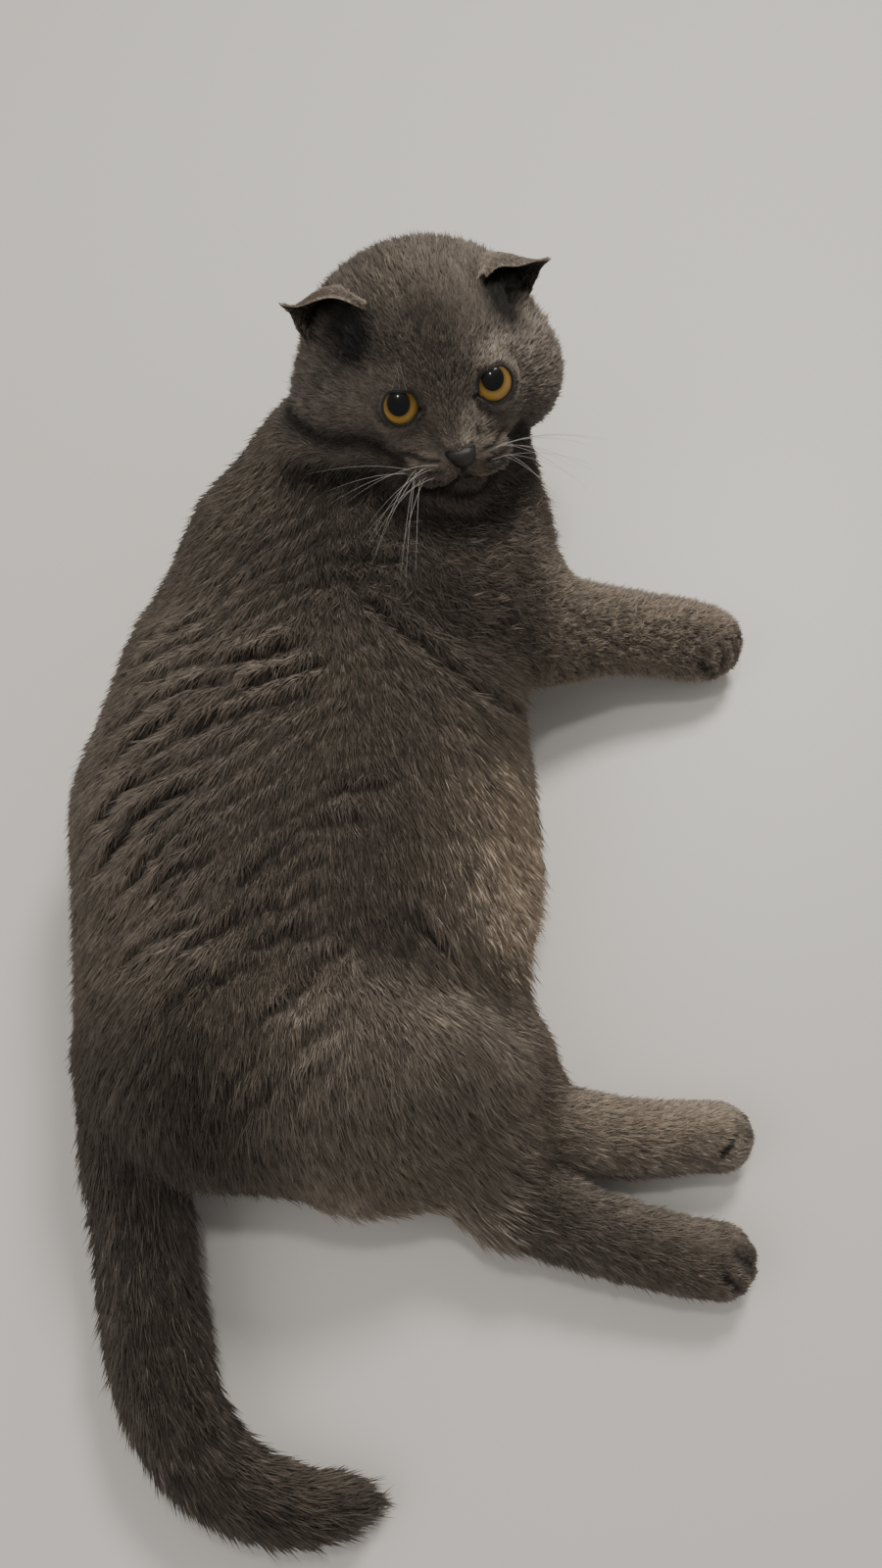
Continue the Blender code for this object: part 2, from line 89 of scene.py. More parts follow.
HEAD_AT = np.array((0.18, 45.25, 16.3))
HEAD_YAW, HEAD_PITCH, HEAD_ROLL = 14.0, -24.7, 0.3
CRANIUM = ((0, 1.0, 0.9), (5.9, 5.2, 4.8))
FOREHEAD = ((0, -1.3, 1.4), (4.4, 3.7, 3.4))
CHEEK = ((3.75, 0.6, -1.5), (3.35, 3.9, 3.5))
FACE = ((0, -2.3, -1.3), (3.9, 3.1, 3.2))
THROAT = ((0, -0.9, -3.5), (3.6, 4.0, 2.0))
BRIDGE = [(0, -3.6, 0.9, 1.42), (0, -5.22, -1.6, 0.90)]
MUZZLE_PAD = ((1.15, -4.85, -2.75), (1.55, 1.3, 1.15))
CHIN = ((0, -4.45, -4.05), (1.4, 1.25, 0.85))
NOSE = ((0, -5.8, -2.15), (0.62, 0.42, 0.42))
SOCKET = ((2.4, -5.5, 0.1), (1.3, 1.15, 1.05))
EYE_AT = np.array((2.24, -3.75, 0.15))
EYE_RADIUS = 1.12

EAR_ROWS = [
    [(2.6, -1.6, 3.1), (3.3, 0.2, 3.4), (4.1, 0.9, 3.0), (4.8, 0.9, 2.3), (5.2, 0.3, 1.5)],
    [(2.6, -1.6, 3.6), (3.4, 0.4, 4.0), (4.4, 1.0, 3.65), (5.2, 0.95, 2.95), (5.6, 0.25, 2.3)],
    [(2.7, -1.8, 3.9), (3.6, -0.1, 4.25), (4.65, 0.5, 4.05), (5.45, 0.6, 3.5), (5.9, 0.2, 2.9)],
    [(2.8, -2.0, 3.9), (3.8, -0.75, 4.25), (4.8, -0.2, 4.2), (5.65, 0.1, 3.9), (6.15, 0.1, 3.5)],
    [(2.8, -2.3, 3.65), (3.9, -1.5, 4.0), (4.9, -0.9, 4.1), (5.8, -0.3, 4.0), (6.6, 0.1, 3.9)],
]
# how far each ear's rim stands from that form, from the forehead round to the outer margin
EAR_LIFT = {
    -1: [(-0.09, 0.33, 0.55), (-0.07, 0.33, 0.55), (-0.07, 0.29, 0.46), (-0.04, 0.23, 0.30), (-0.21, 0.25, 0.38)],
    1: [(0.17, 0.26, 0.68), (0.04, 0.17, 0.42), (0.04, -0.01, 0.02), (-0.01, -0.10, -0.22), (0.08, -0.12, -0.20)],
}

TRIANGLES_OF_COAT = 1_380_000
RNG = np.random.default_rng(20)


# ---------------------------------------------------------------- distance functions
def smin(a, b, k):
    h = np.clip(0.5 + 0.5 * (b - a) / k, 0.0, 1.0)
    return b * (1 - h) + a * h - k * h * (1 - h)


def smax(a, b, k):
    return -smin(-a, -b, k)


def ramp(x, low, high):
    t = np.clip((x - low) / (high - low), 0.0, 1.0)
    return t * t * (3 - 2 * t)


def turn(yaw=0.0, pitch=0.0, roll=0.0):
    y, p, r = (math.radians(v) for v in (yaw, pitch, roll))
    rz = np.array([[math.cos(y), -math.sin(y), 0], [math.sin(y), math.cos(y), 0], [0, 0, 1]])
    rx = np.array([[1, 0, 0], [0, math.cos(p), -math.sin(p)], [0, math.sin(p), math.cos(p)]])
    ry = np.array([[math.cos(r), 0, math.sin(r)], [0, 1, 0], [-math.sin(r), 0, math.cos(r)]])
    return rz @ rx @ ry


HEAD_TURN = turn(HEAD_YAW, HEAD_PITCH, HEAD_ROLL)


def ellipsoid(P, centre, radii, frame=None):
    q = P - np.array(centre, float)
    if frame is not None:
        q = q @ frame
    r = np.array(radii, float)
    k0 = np.sqrt(((q / r) ** 2).sum(1))
    k1 = np.sqrt(((q / (r * r)) ** 2).sum(1))
    return k0 * (k0 - 1.0) / np.maximum(k1, 1e-9)


def cone(P, a, b):
    a, ra, b, rb = np.array(a[:3], float), a[3], np.array(b[:3], float), b[3]
    ab = b - a
    h = np.clip(((P - a) @ ab) / (ab @ ab), 0, 1)
    q = P - a - h[:, None] * ab
    return np.sqrt((q * q).sum(1)) - (ra + h * (rb - ra))


def limb(P, stations, blend):
    d = None
    for a, b in zip(stations[:-1], stations[1:]):
        e = cone(P, a, b)
        d = e if d is None else smin(d, e, blend)
    return d


def spline(stations, n):
    p = np.array(stations, float)
    p = np.vstack([2 * p[0] - p[1], p, 2 * p[-1] - p[-2]])
    out = []
    for i in range(1, len(p) - 2):
        a, b, c, d = p[i - 1], p[i], p[i + 1], p[i + 2]
        for t in np.linspace(0, 1, n, endpoint=False):
            out.append(0.5 * (2 * b + (c - a) * t + (2 * a - 5 * b + 4 * c - d) * t * t
                              + (3 * b - a - 3 * c + d) * t ** 3))
    out.append(p[-2])
    return np.array(out)


def noise(P, size, seed=0):
    """Smooth value noise in -1..1, with cells of the given size."""
    q = np.asarray(P, float) / size + 1000.0
    i = np.floor(q).astype(np.int64)
    f = q - i
    f = f * f * (3 - 2 * f)
    out = np.zeros(len(q))
    for dx in (0, 1):
        for dy in (0, 1):
            for dz in (0, 1):
                n = (i[:, 0] + dx) * 374761393 + (i[:, 1] + dy) * 668265263 + (i[:, 2] + dz) * 2147483647 + seed * 974711
                n = (n ^ (n >> 13)) * 1274126177 & 0x7FFFFFFF
                n = n ^ (n >> 16)
                w = (f[:, 0] if dx else 1 - f[:, 0]) * (f[:, 1] if dy else 1 - f[:, 1]) * (f[:, 2] if dz else 1 - f[:, 2])
                out += w * ((n & 0xFFFF) / 32767.5 - 1.0)
    return out


def head_local(P):
    return (P - HEAD_AT) @ HEAD_TURN


def mirrored(q):
    m = q.copy()
    m[:, 0] = np.abs(m[:, 0])
    return m


# the opening between the lids, in the eye's own frame: A out of the face, S away from the nose, V up
EYE_A = np.array((0.06, -0.92, 0.36)); EYE_A /= np.linalg.norm(EYE_A)
EYE_S = np.cross(EYE_A, (0, 0, 1.0)); EYE_S /= np.linalg.norm(EYE_S); EYE_S *= np.sign(EYE_S[0])
EYE_V = np.cross(EYE_S, EYE_A); EYE_V *= np.sign(EYE_V[2])


def lid_gap(u, v):
    """Signed distance from the edge of the lids, negative in the opening."""
    circle = np.hypot(u, v + 0.02) - 0.867
    lid = (v - (0.685 + 0.20 * u)) / math.hypot(1, 0.20)
    d = smax(circle, lid, 0.14)
    a, b = np.array((-0.55, -0.22)), np.array((-0.92, -0.38))
    h = np.clip(((u - a[0]) * (b - a)[0] + (v - a[1]) * (b - a)[1]) / ((b - a) @ (b - a)), 0, 1)
    corner = np.hypot(u - a[0] - h * (b - a)[0], v - a[1] - h * (b - a)[1]) - (0.24 - 0.19 * h)
    return smin(d, corner, 0.06)


def eye_gap(q, r):
    """lid_gap round either eye; the cat's right eye is narrowed a little more."""
    k = np.where(q[:, 0] < 0, 1.045, 1.0)
    return lid_gap((r @ EYE_S) * k, (r @ EYE_V) * k) / k


MOUTH = [(0.0, -3.25), (0.45, -3.52), (1.0, -3.62), (1.7, -3.5), (2.3, -3.2), (2.7, -2.9)]


def line_distance(x, z, path):
    d = None
    for (ax, az), (bx, bz) in zip(path[:-1], path[1:]):
        ex, ez = bx - ax, bz - az
        h = np.clip(((x - ax) * ex + (z - az) * ez) / (ex * ex + ez * ez), 0, 1)
        e = np.hypot(x - ax - h * ex, z - az - h * ez)
        d = e if d is None else np.minimum(d, e)
    return d


def mouth_distance(m):
    return np.minimum(line_distance(m[:, 0], m[:, 2], MOUTH), line_distance(m[:, 0], m[:, 2], [(0, -2.6), (0, -3.25)]))


def head_outline(q, m):
    d = ellipsoid(q, *CRANIUM)
    d = smin(d, ellipsoid(q, *FOREHEAD), 1.2)
    d = smin(d, ellipsoid(m, *CHEEK), 1.4)
    d = smin(d, ellipsoid(q, *FACE), 1.0)
    d = smin(d, ellipsoid(q, *THROAT), 1.0)
    d = smin(d, cone(q, *BRIDGE), 0.8)
    d = smin(d, ellipsoid(m, *MUZZLE_PAD), 0.5)
    d = smin(d, ellipsoid(q, *CHIN), 0.5)
    d = smax(d, -ellipsoid(m, *SOCKET), 0.5)
    return d


def head_inset(q):
    """Depth of the coat over the head."""
    front = ramp(-q[:, 1], 1.0, 4.2)
    return 0.50 * (1 - front) + 0.22 * front


def nose_leather(m):
    d = ellipsoid(m, (0.0, -5.72, -2.15), (0.90, 0.50, 0.62))
    d = smax(d, (m[:, 0] - 0.78 + 0.62 * (-1.85 - m[:, 2])) / 1.18, 0.2)
    return smax(d, m[:, 2] + 1.70, 0.24)


def head_skin(q):
    m = mirrored(q)
    d = head_outline(q, m) + head_inset(q)
    # the hollow under the fold of each ear
    d = smax(d, -ellipsoid(m, (4.9, -1.25, 2.75), (1.25, 1.15, 1.0)), 0.35)
    r = m - EYE_AT
    rr = np.sqrt((r * r).sum(1))
    d = smin(d, rr - (EYE_RADIUS + 0.11), 0.45)
    # nose leather, nostrils, the line under it and the mouth
    d = smin(d, nose_leather(m), 0.12)
    nostril = smin(cone(m, (0.30, -6.24, -2.32, 0.085), (0.52, -6.08, -2.26, 0.065)),
                   cone(m, (0.52, -6.08, -2.26, 0.065), (0.68, -5.84, -2.12, 0.03)), 0.05)
    d = smax(d, -nostril, 0.05)
    line = mouth_distance(m)
    low = ramp(-q[:, 1], 2.6, 3.6) * ramp(q[:, 2], -2.4, -2.8)
    d = d + 0.26 * np.exp(-(line / 0.13) ** 2) * low
    return d + 0.05 * whisker_rows(m)


def whisker_rows(m):
    """The rows of the whisker bed on each pad, 1 along their lines."""
    x, z = m[:, 0], m[:, 2]
    rows = np.zeros(len(m))
    for k in range(4):
        rows += np.exp(-((z + 2.10 + 0.42 * k - 0.16 * (x - 1.5)) / 0.095) ** 2)
    return rows * ramp(x, 0.75, 1.1) * ramp(x, 2.7, 2.2) * ramp(-m[:, 1], 3.4, 4.2)


SPLINES = dict(foot_r=spline(FOOT_R, 3), foot_l=spline(FOOT_L, 3), arm_r=spline(ARM_R, 3), arm_l=spline(ARM_L, 3),
               tail=spline(TAIL, 4), neck=np.array(NECK), thigh=np.array(THIGH_R))


def toe_grooves(P):
    """1 in the clefts between the toes, and how far each point belongs to the toes."""
    groove, zone = np.zeros(len(P)), np.zeros(len(P))
    for tip, (along, across, up), spread in FEET:
        r = P - np.array(tip)
        a, w, n = r @ along, r @ across, r @ up
        here = ((r * r).sum(1) < 9.0) * ramp(a, -0.5, 0.5) * ramp(n, -1.5, -1.0)
        fan = w / (1.0 + 0.16 * np.maximum(a, 0))
        line = sum(np.exp(-((fan - k * spread) / 0.15) ** 2) for k in (-1, 0, 1)) * (0.35 if tip[0] < 13 and tip[1] < 12 else 0.9)
        groove = np.maximum(groove, line * here)
        zone = np.maximum(zone, here)
    # the clefts that show most, each along its own line
    for line in CLEFTS:
        line = np.array(line, float)
        k = np.flatnonzero((P > line.min(0) - 0.8).all(1) & (P < line.max(0) + 0.8).all(1))
        if not len(k):
            continue
        near = np.min([np.abs(cone(P[k], (*a, 0.0), (*b, 0.0))) for a, b in zip(line[:-1], line[1:])], axis=0)
        groove[k] = np.maximum(groove[k], 1.1 * np.exp(-np.maximum(near * near - 0.085, 0.0) / 0.17 ** 2))
    return groove, zone


def unit(v):
    v = np.array(v, float)
    return v / np.linalg.norm(v)


def foot_frame(along, up):
    along = unit(along)
    across = unit(np.cross(up, along))
    return along, across, np.cross(along, across)


CLEFTS = [
    [(13.3, 9.6, 3.5), (12.9, 9.1, 3.4), (12.3, 8.7, 3.2)], [(11.8, 8.3, 3.0), (11.0, 8.5, 3.1)],
    [(12.6, 4.4, 3.5), (13.1, 4.1, 3.3), (13.5, 3.8, 2.8)], [(11.8, 3.3, 3.4), (12.3, 2.9, 3.2), (12.6, 2.6, 2.6)],
    [(14.3, 34.6, 3.7), (15.0, 34.3, 2.7), (15.9, 34.6, 1.7)], [(13.8, 34.5, 4.0), (14.3, 34.3, 3.2)],
]
FEET = [
    ((12.0, 4.15, 1.9), foot_frame((1, -0.22, -0.05), (0.1, 0.45, 0.9)), 0.66),
    ((12.7, 9.85, 1.9), foot_frame((1, -0.06, -0.05), (0.0, 0.65, 0.75)), 0.62),
    ((14.8, 35.9, 2.2), foot_frame((0.8, -0.6, -0.35), (0.3, 0.25, 1)), 0.66),
    ((4.0, 53.5, 2.0), foot_frame((0.22, 1, -0.1), (0, 0.1, 1)), 0.66),
]


def parts_of(P):
    """Distance to the coat's outer surface, part by part."""
    trunk = None
    for centre, radii, yaw in TRUNK:
        e = ellipsoid(P, centre, radii, turn(yaw))
        trunk = e if trunk is None else smin(trunk, e, 3.0)
    trunk = smin(trunk, ellipsoid(P, *BELLY), 1.6)
    trunk = smin(trunk, ellipsoid(P, *SHOULDER), 2.0)
    return dict(
        trunk=trunk, neck=limb(P, NECK, 1.0),
        thigh=smin(limb(P, THIGH_R, 1.0), limb(P, HAM_R, 1.0), 1.5),
        leg_r=smin(limb(P, SHANK_R, 0.5), limb(P, SPLINES["foot_r"], 0.3), 0.5),
        leg_l=smin(limb(P, SHANK_L, 0.5), limb(P, SPLINES["foot_l"], 0.3), 0.6),
        arm_r=limb(P, SPLINES["arm_r"], 0.3), arm_l=limb(P, SPLINES["arm_l"], 0.3),
        tail=limb(P, SPLINES["tail"], 0.2))


# overlapping folds of the coat: how strong each is, and the line of its lip over the body
FOLDS = [
    (0.5, [(-13.8, 33.7, 12.2), (-12.5, 33.7, 13.1), (-11.3, 34, 13.6)]),
    (0.5, [(-15.4, 32.8, 10.9), (-13.6, 32.6, 12.6), (-11.8, 32.8, 13.5), (-10.1, 32.8, 14.1)]),
    (0.55, [(-14.6, 31.4, 12.1), (-13.1, 31.4, 13.1), (-11.7, 31.5, 13.7), (-10.4, 31.6, 14.1)]),
    (1.0, [(-10, 31, 14.3), (-8.8, 31.4, 14.5), (-7.6, 31.5, 14.7), (-6.1, 31.7, 14.7)]),
    (1.0, [(-8.9, 29.4, 14.5), (-7.9, 30, 14.6), (-6.5, 30.3, 14.7), (-4.9, 30.7, 14.7)]),
    (0.8, [(-13.7, 30, 12.9), (-12.2, 30, 13.5), (-10.9, 30.1, 14), (-9.7, 30.2, 14.4)]),
    (0.55, [(-16.4, 29.3, 10.9), (-15.2, 29.6, 11.8), (-14, 29.7, 12.7)]),
    (1.0, [(-15.8, 27.6, 11.6), (-14.7, 28.1, 12.4), (-13.3, 28.6, 13.1), (-12.1, 29, 13.7)]),
    (0.6, [(-12.2, 27.8, 13.6), (-10.7, 28.1, 14.1), (-9.3, 28.2, 14.4), (-7.6, 28.6, 14.6)]),
    (0.7, [(-7.6, 28.4, 14.6), (-6.7, 28.6, 14.6), (-5.8, 29, 14.6)]),
    (0.6, [(-14.2, 26.8, 12.7), (-13.1, 27.2, 13.2), (-11.8, 27.5, 13.7), (-10.3, 27.8, 14.1)]),
    (0.45, [(-12.1, 26.3, 13.5), (-10.9, 26.6, 14), (-9.5, 26.8, 14.2)]),
    (1.0, [(-17, 24.7, 10.6), (-16, 25.3, 11.6), (-15.2, 25.9, 12.2), (-14.2, 26.4, 12.7)]),
    (1.0, [(-15.4, 24.2, 12), (-14.1, 24.3, 12.7), (-12.8, 24.7, 13.3), (-11, 25.3, 13.8)]),
    (0.5, [(-14.8, 25.8, 12.4), (-13.6, 26.1, 13), (-12.3, 26.3, 13.5)]),
    (1.0, [(-17.1, 22.4, 10.4), (-16.1, 22.9, 11.4), (-15.2, 23.5, 12), (-14.3, 24.1, 12.6)]),
    (0.6, [(-15.4, 20.8, 11.6), (-14.8, 21.3, 12), (-14, 22, 12.6), (-13.1, 22.6, 13)]),
    (0.55, [(-13.8, 20.5, 12.4), (-12.9, 21, 12.9), (-12, 21.4, 13.2), (-10.4, 21.7, 13.7)]),
    (0.55, [(-9.6, 20.1, 13.5), (-8.9, 20.6, 13.7), (-7.8, 21.4, 13.9), (-7.4, 21.9, 14)]),
    (0.7, [(-5.2, 24, 14.1), (-4.2, 24.2, 14), (-3.1, 24.4, 13.7), (-1.7, 24.8, 13.4)]),
    (0.45, [(-5.2, 24.8, 14.1), (-4.2, 24.8, 14), (-2.7, 25.2, 13.7)]),
    (0.45, [(-5.4, 23, 14), (-4.3, 22.9, 13.8), (-3.3, 23.1, 13.6)]),
    (0.45, [(-13.3, 17.9, 12.5), (-12.8, 18.4, 12.6), (-11.8, 18.6, 12.9), (-10.8, 18.8, 13.2)]),
    (0.65, [(-11.9, 17.2, 13), (-11.1, 17.8, 13.1), (-10.3, 18.2, 13.2), (-9.1, 18.9, 13.4)]),
    (0.6, [(-12.4, 14.8, 13), (-11.7, 15.5, 13.2), (-10.8, 16.1, 13.3), (-9.7, 16.5, 13.4)]),
    (0.45, [(-8.9, 18.9, 13.4), (-8, 19.1, 13.5), (-6.6, 19.3, 13.5), (-6, 19.5, 13.5)]),
    (0.5, [(-11, 15, 13.3), (-10.2, 15.7, 13.4), (-9.2, 16.4, 13.4), (-7.6, 16.8, 13.2)]),
    (0.5, [(-9.1, 16.9, 13.3), (-8.3, 17.5, 13.2), (-7, 18, 13.2), (-6, 18.1, 13.2)]),
    (0.6, [(-8.6, 14, 13.3), (-7.6, 14.6, 13.3), (-6.7, 15.1, 13.3), (-5.4, 15.7, 13.1)]),
    (0.45, [(-6.3, 15.6, 13.2), (-5.4, 16.4, 13), (-4.1, 17.5, 12.8)]),
    (0.65, [(-10.8, 11, 12.2), (-10.2, 11.7, 12.6), (-9.6, 12.1, 12.8), (-8.7, 12.7, 13.1)]),
    (0.65, [(-10, 10.5, 11.8), (-9.1, 11, 12.3), (-8.3, 11.6, 12.8), (-7.5, 12, 13)]),
    (0.55, [(-7.5, 11.1, 12.6), (-6.5, 11.7, 13), (-5.4, 12, 13.2), (-4.8, 12.2, 13.2)]),
    (0.45, [(-7, 12.7, 13.2), (-6.2, 13.3, 13.3), (-5.1, 13.9, 13.3), (-4, 14.4, 13.1)]),
    (0.4, [(-5.5, 10.6, 12.7), (-4.4, 11.3, 12.8), (-3.4, 11.9, 12.7)]),
    (0.45, [(-15, 17.5, 11.5), (-14.4, 18, 11.9), (-13.7, 18.4, 12.3)]),
    (0.4, [(-14.7, 15.5, 11.8), (-14.5, 14.8, 12), (-14.1, 14.1, 12.2)]),
    (0.8, [(-1.3, 18.9, 12), (-0.7, 18.6, 11.7), (-0.1, 18.2, 11.1), (0.6, 17.4, 10.4)]),
    (0.8, [(-3.3, 34.2, 14.8), (-1.9, 33.2, 14.4), (-0.6, 32, 13.8), (0.8, 31.1, 13.1)]),
    (0.9, [(0.8, 31.1, 13.1), (2.2, 30.4, 12), (3.5, 30.1, 10.8), (4.8, 30.5, 8.5)]),
    (0.45, [(-5, 35.6, 15.2), (-3.2, 35.8, 15.3), (-0.9, 35.7, 15.1)]),
    (0.4, [(-6.4, 34.5, 14.9), (-4.6, 35, 15), (-2.7, 34.8, 15)]),
]


def creases(P):
    """(depth into the coat, painted shade in the valleys, height of the lips) of the folds, all 0 away from them."""
    depth, valley, lip = np.zeros(len(P)), np.zeros(len(P)), np.zeros(len(P))
    lie = np.array((-0.22, -0.96, -0.12))
    shift = 0.10 * noise(P, 0.45, 50) + 0.16 * noise(P, 0.9, 51) + 0.22 * noise(P, 2.2, 52)
    body = (P[:, 0] > -20) & (P[:, 0] < 8) & (P[:, 1] > 7) & (P[:, 1] < 46) & (P[:, 2] > 2)
    for strength, line in FOLDS:
        line = np.array(line, float)
        low, high = line.min(0) - 2.6, line.max(0) + 2.6
        k = np.flatnonzero(body & (P > low).all(1) & (P < high).all(1))
        if not len(k):
            continue
        Q = P[k]
        run = np.concatenate([[0], np.cumsum(np.linalg.norm(np.diff(line, axis=0), axis=1))])
        best = np.full(len(k), 1e9)
        s, t, off = np.zeros(len(k)), np.zeros(len(k)), np.zeros(len(k))
        for j in range(len(line) - 1):
            a, e = line[j], line[j + 1] - line[j]
            span = np.linalg.norm(e)
            e = e / span
            side = lie - (lie @ e) * e
            side /= np.linalg.norm(side)
            x = (Q - a) @ e
            h = np.clip(x, 0, span)
            R = Q - a - h[:, None] * e
            r = np.linalg.norm(R, axis=1)
            near = r < best
            best = np.where(near, r, best)
            s = np.where(near, R @ side, s)
            t = np.where(near, run[j] + h, t)
            off = np.where(near, np.abs(x - h), off)
        s = s + shift[k]
        u = t / run[-1]
        fade = strength * np.exp(-(off / 0.45) ** 2) * np.clip(np.sin(np.pi * np.clip(u, 0.02, 0.98)) * 1.6 + 0.15, 0, 1)
        fade = fade * (best < 2.4)
        depth[k] += fade * (np.where(s < 0.12, ramp(s, -0.10, 0.12), 1 - ramp(s, 0.12, 1.15)) - 0.30 * np.exp(-((s + 0.30) / 0.22) ** 2))
        valley[k] += fade * (np.exp(-((s - 0.13) / 0.13) ** 2) + 0.30 * np.exp(-((s - 0.40) / 0.28) ** 2))
        lip[k] += fade * np.exp(-((s + 0.25) / 0.24) ** 2)
    # slight ripples between the folds
    X, Y, Z = P.T
    bend = -0.27 * 8.5 * np.exp(-(X + 2.0) / 8.5)
    turn_ = ((bend - Y) + 0.75 * noise(P * (1, 1, 0.5), 3.0, 3) + 0.35 * noise(P, 1.2, 4)) / 1.15
    phase = turn_ - np.floor(turn_)
    area = ramp(X, 0.0, -7.0) * ramp(Y, 9.0, 13.0) * ramp(Y, 42.0, 38.0) * ramp(Z, 1.0, 4.0)
    area = area * np.clip(0.45 + 0.9 * noise(P, 3.1, 6), 0, 1) * (1 - np.clip(valley + lip, 0, 1))
    depth += 0.30 * area * np.where(phase < 0.16, ramp(phase, 0.0, 0.16), 1 - ramp(phase, 0.16, 0.8))
    valley += 0.30 * area * np.exp(-((phase - 0.18) / 0.12) ** 2)
    return depth, np.clip(valley, 0, 1), np.clip(lip, 0, 1)


def body_inset(P, part):
    depth = np.full(len(P), 0.42)
    belly = ramp(P[:, 0], 0.0, 4.0) * ramp(P[:, 1], 15, 18) * ramp(P[:, 1], 32, 28)
    depth = depth + 0.15 * belly
    small = ramp(np.minimum.reduce([part["leg_r"], part["leg_l"]]), 0.3, -0.6) * ramp(P[:, 0], 2.0, 6.0)
    depth = depth * (1 - small) + 0.26 * small
    arm = ramp(np.minimum(part["arm_r"], part["arm_l"]), 0.3, -0.6) * np.maximum(ramp(P[:, 0], 5.0, 9.0), ramp(P[:, 1], 48, 50))
    depth = depth * (1 - arm) + 0.34 * arm
    tail = ramp(P[:, 1], 11, 7) * ramp(P[:, 0], -8, -11) + ramp(P[:, 1], 2.0, 0.0)
    tail = np.clip(tail, 0, 1)
    return depth * (1 - tail) + 0.55 * tail


def skin_form(P, detail=True):
    part = parts_of(P)
    d = smin(part["trunk"], part["neck"], 2.2)
    d = smin(d, part["thigh"], 1.5)
    d = smin(d, part["leg_r"], 1.2)
    d = smin(d, part["leg_l"], 1.1)
    d = smin(d, part["arm_r"], 1.4)
    d = smin(d, part["arm_l"], 1.2)
    d = smin(d, part["tail"], 1.1)
    d = d + body_inset(P, part)
    if detail:
        groove, zone = toe_grooves(P)
        d = d + 0.33 * creases(P)[0] + 0.30 * groove - 0.10 * zone
    q = head_local(P)
    near = (q * q).sum(1) < 12.0 ** 2
    h = np.full(len(P), 6.0)
    if near.any():
        h[near] = head_skin(q[near]) if detail else head_outline(q[near], mirrored(q[near])) + head_inset(q[near])
    d = smin(d, h, 0.45)
    return smax(d, 0.12 - P[:, 2], 0.25)


# ---------------------------------------------------------------- mesh helpers
def to_metres(P):
    P = np.array(P, float, ndmin=2)
    P[:, :2] -= OFFSET
    return P * CM


def to_table(P):
    P = np.array(P, float, ndmin=2) / CM
    P[:, :2] += OFFSET
    return P


def onto_form(P, steps, detail=True):
    h = 0.015
    for _ in range(steps):
        d = skin_form(P, detail)
        g = np.stack([skin_form(P + h * e, detail) - d for e in np.eye(3)], axis=1) / h
        P = P - np.clip(d, -0.5, 0.5)[:, None] * g / np.maximum((g * g).sum(1), 0.3)[:, None]
    return P


def points_of(mesh):
    P = np.empty(len(mesh.vertices) * 3, np.float32)
    mesh.vertices.foreach_get("co", P)
    return P.reshape(-1, 3).astype(np.float64)


def set_points(mesh, P):
    mesh.vertices.foreach_set("co", P.astype(np.float32).ravel())
    mesh.update()


def new_object(name, mesh):
    obj = bpy.data.objects.new(name, mesh)
    bpy.context.scene.collection.objects.link(obj)
    return obj


def head_point(local):
    return HEAD_AT + HEAD_TURN @ np.array(local, float)


def baked(obj):
    bpy.context.view_layer.update()
    graph = bpy.context.evaluated_depsgraph_get()
    mesh = bpy.data.meshes.new_from_object(obj.evaluated_get(graph))
    obj.modifiers.clear()
    obj.data = mesh
    return obj


def add_ball(bm, centre, radii, frame=None, segments=20, rings=12):
    place = Matrix.Translation(Vector(to_metres(centre)[0]))
    if frame is not None:
        place = place @ Matrix(frame.tolist()).to_4x4()
    size = Matrix.Diagonal((*(max(r, 0.3) * CM for r in radii), 1.0))
    bmesh.ops.create_uvsphere(bm, u_segments=segments, v_segments=rings, radius=1.0, matrix=place @ size)


def start_form():
    """The body's plain solids, drawn in by the coat's depth, for the remesh to join."""
    bm = bmesh.new()
    less = 0.5
    for centre, radii in (CRANIUM, FOREHEAD, FACE, THROAT, CHIN, NOSE):
        add_ball(bm, head_point(centre), np.array(radii) - 0.2, HEAD_TURN)
    for centre, radii in (CHEEK, MUZZLE_PAD):
        for side in (-1, 1):
            add_ball(bm, head_point(np.array(centre) * (side, 1, 1)), np.array(radii) - 0.2, HEAD_TURN)
    for side in (-1, 1):
        add_ball(bm, head_point(EYE_AT * (side, 1, 1)), (EYE_RADIUS,) * 3)
    for x, y, z, r in spline(BRIDGE, 5):
        add_ball(bm, head_point((x, y, z)), (r - 0.1,) * 3, None, 14, 8)
    for centre, radii, yaw in TRUNK:
        add_ball(bm, centre, np.array(radii) - less, turn(yaw), 28, 16)
    for centre, radii in (BELLY, SHOULDER):
        add_ball(bm, centre, np.array(radii) - less)
    for stations, steps in ((NECK, 4), (THIGH_R, 3), (HAM_R, 4), (SHANK_R, 4), (FOOT_R, 6), (SHANK_L, 5), (FOOT_L, 6),
                            (ARM_R, 6), (ARM_L, 6), (TAIL, 6)):
        for x, y, z, r in spline(stations, steps):
            add_ball(bm, (x, y, z), (r - less,) * 3, None, 14, 8)
    mesh = bpy.data.meshes.new("skin")
    bm.to_mesh(mesh)
    bm.free()
    return mesh


def refine(mesh, chosen):
    """Splits the faces whose middles are chosen into four."""
    bm = bmesh.new()
    bm.from_mesh(mesh)
    bm.faces.ensure_lookup_table()
    middles = np.array([tuple(f.calc_center_median()) for f in bm.faces])
    pick = chosen(to_table(middles))
    edges = {e for f, p in zip(bm.faces, pick) if p for e in f.edges}
    bmesh.ops.subdivide_edges(bm, edges=list(edges), cuts=1, use_grid_fill=True)
    bm.to_mesh(mesh)
    bm.free()


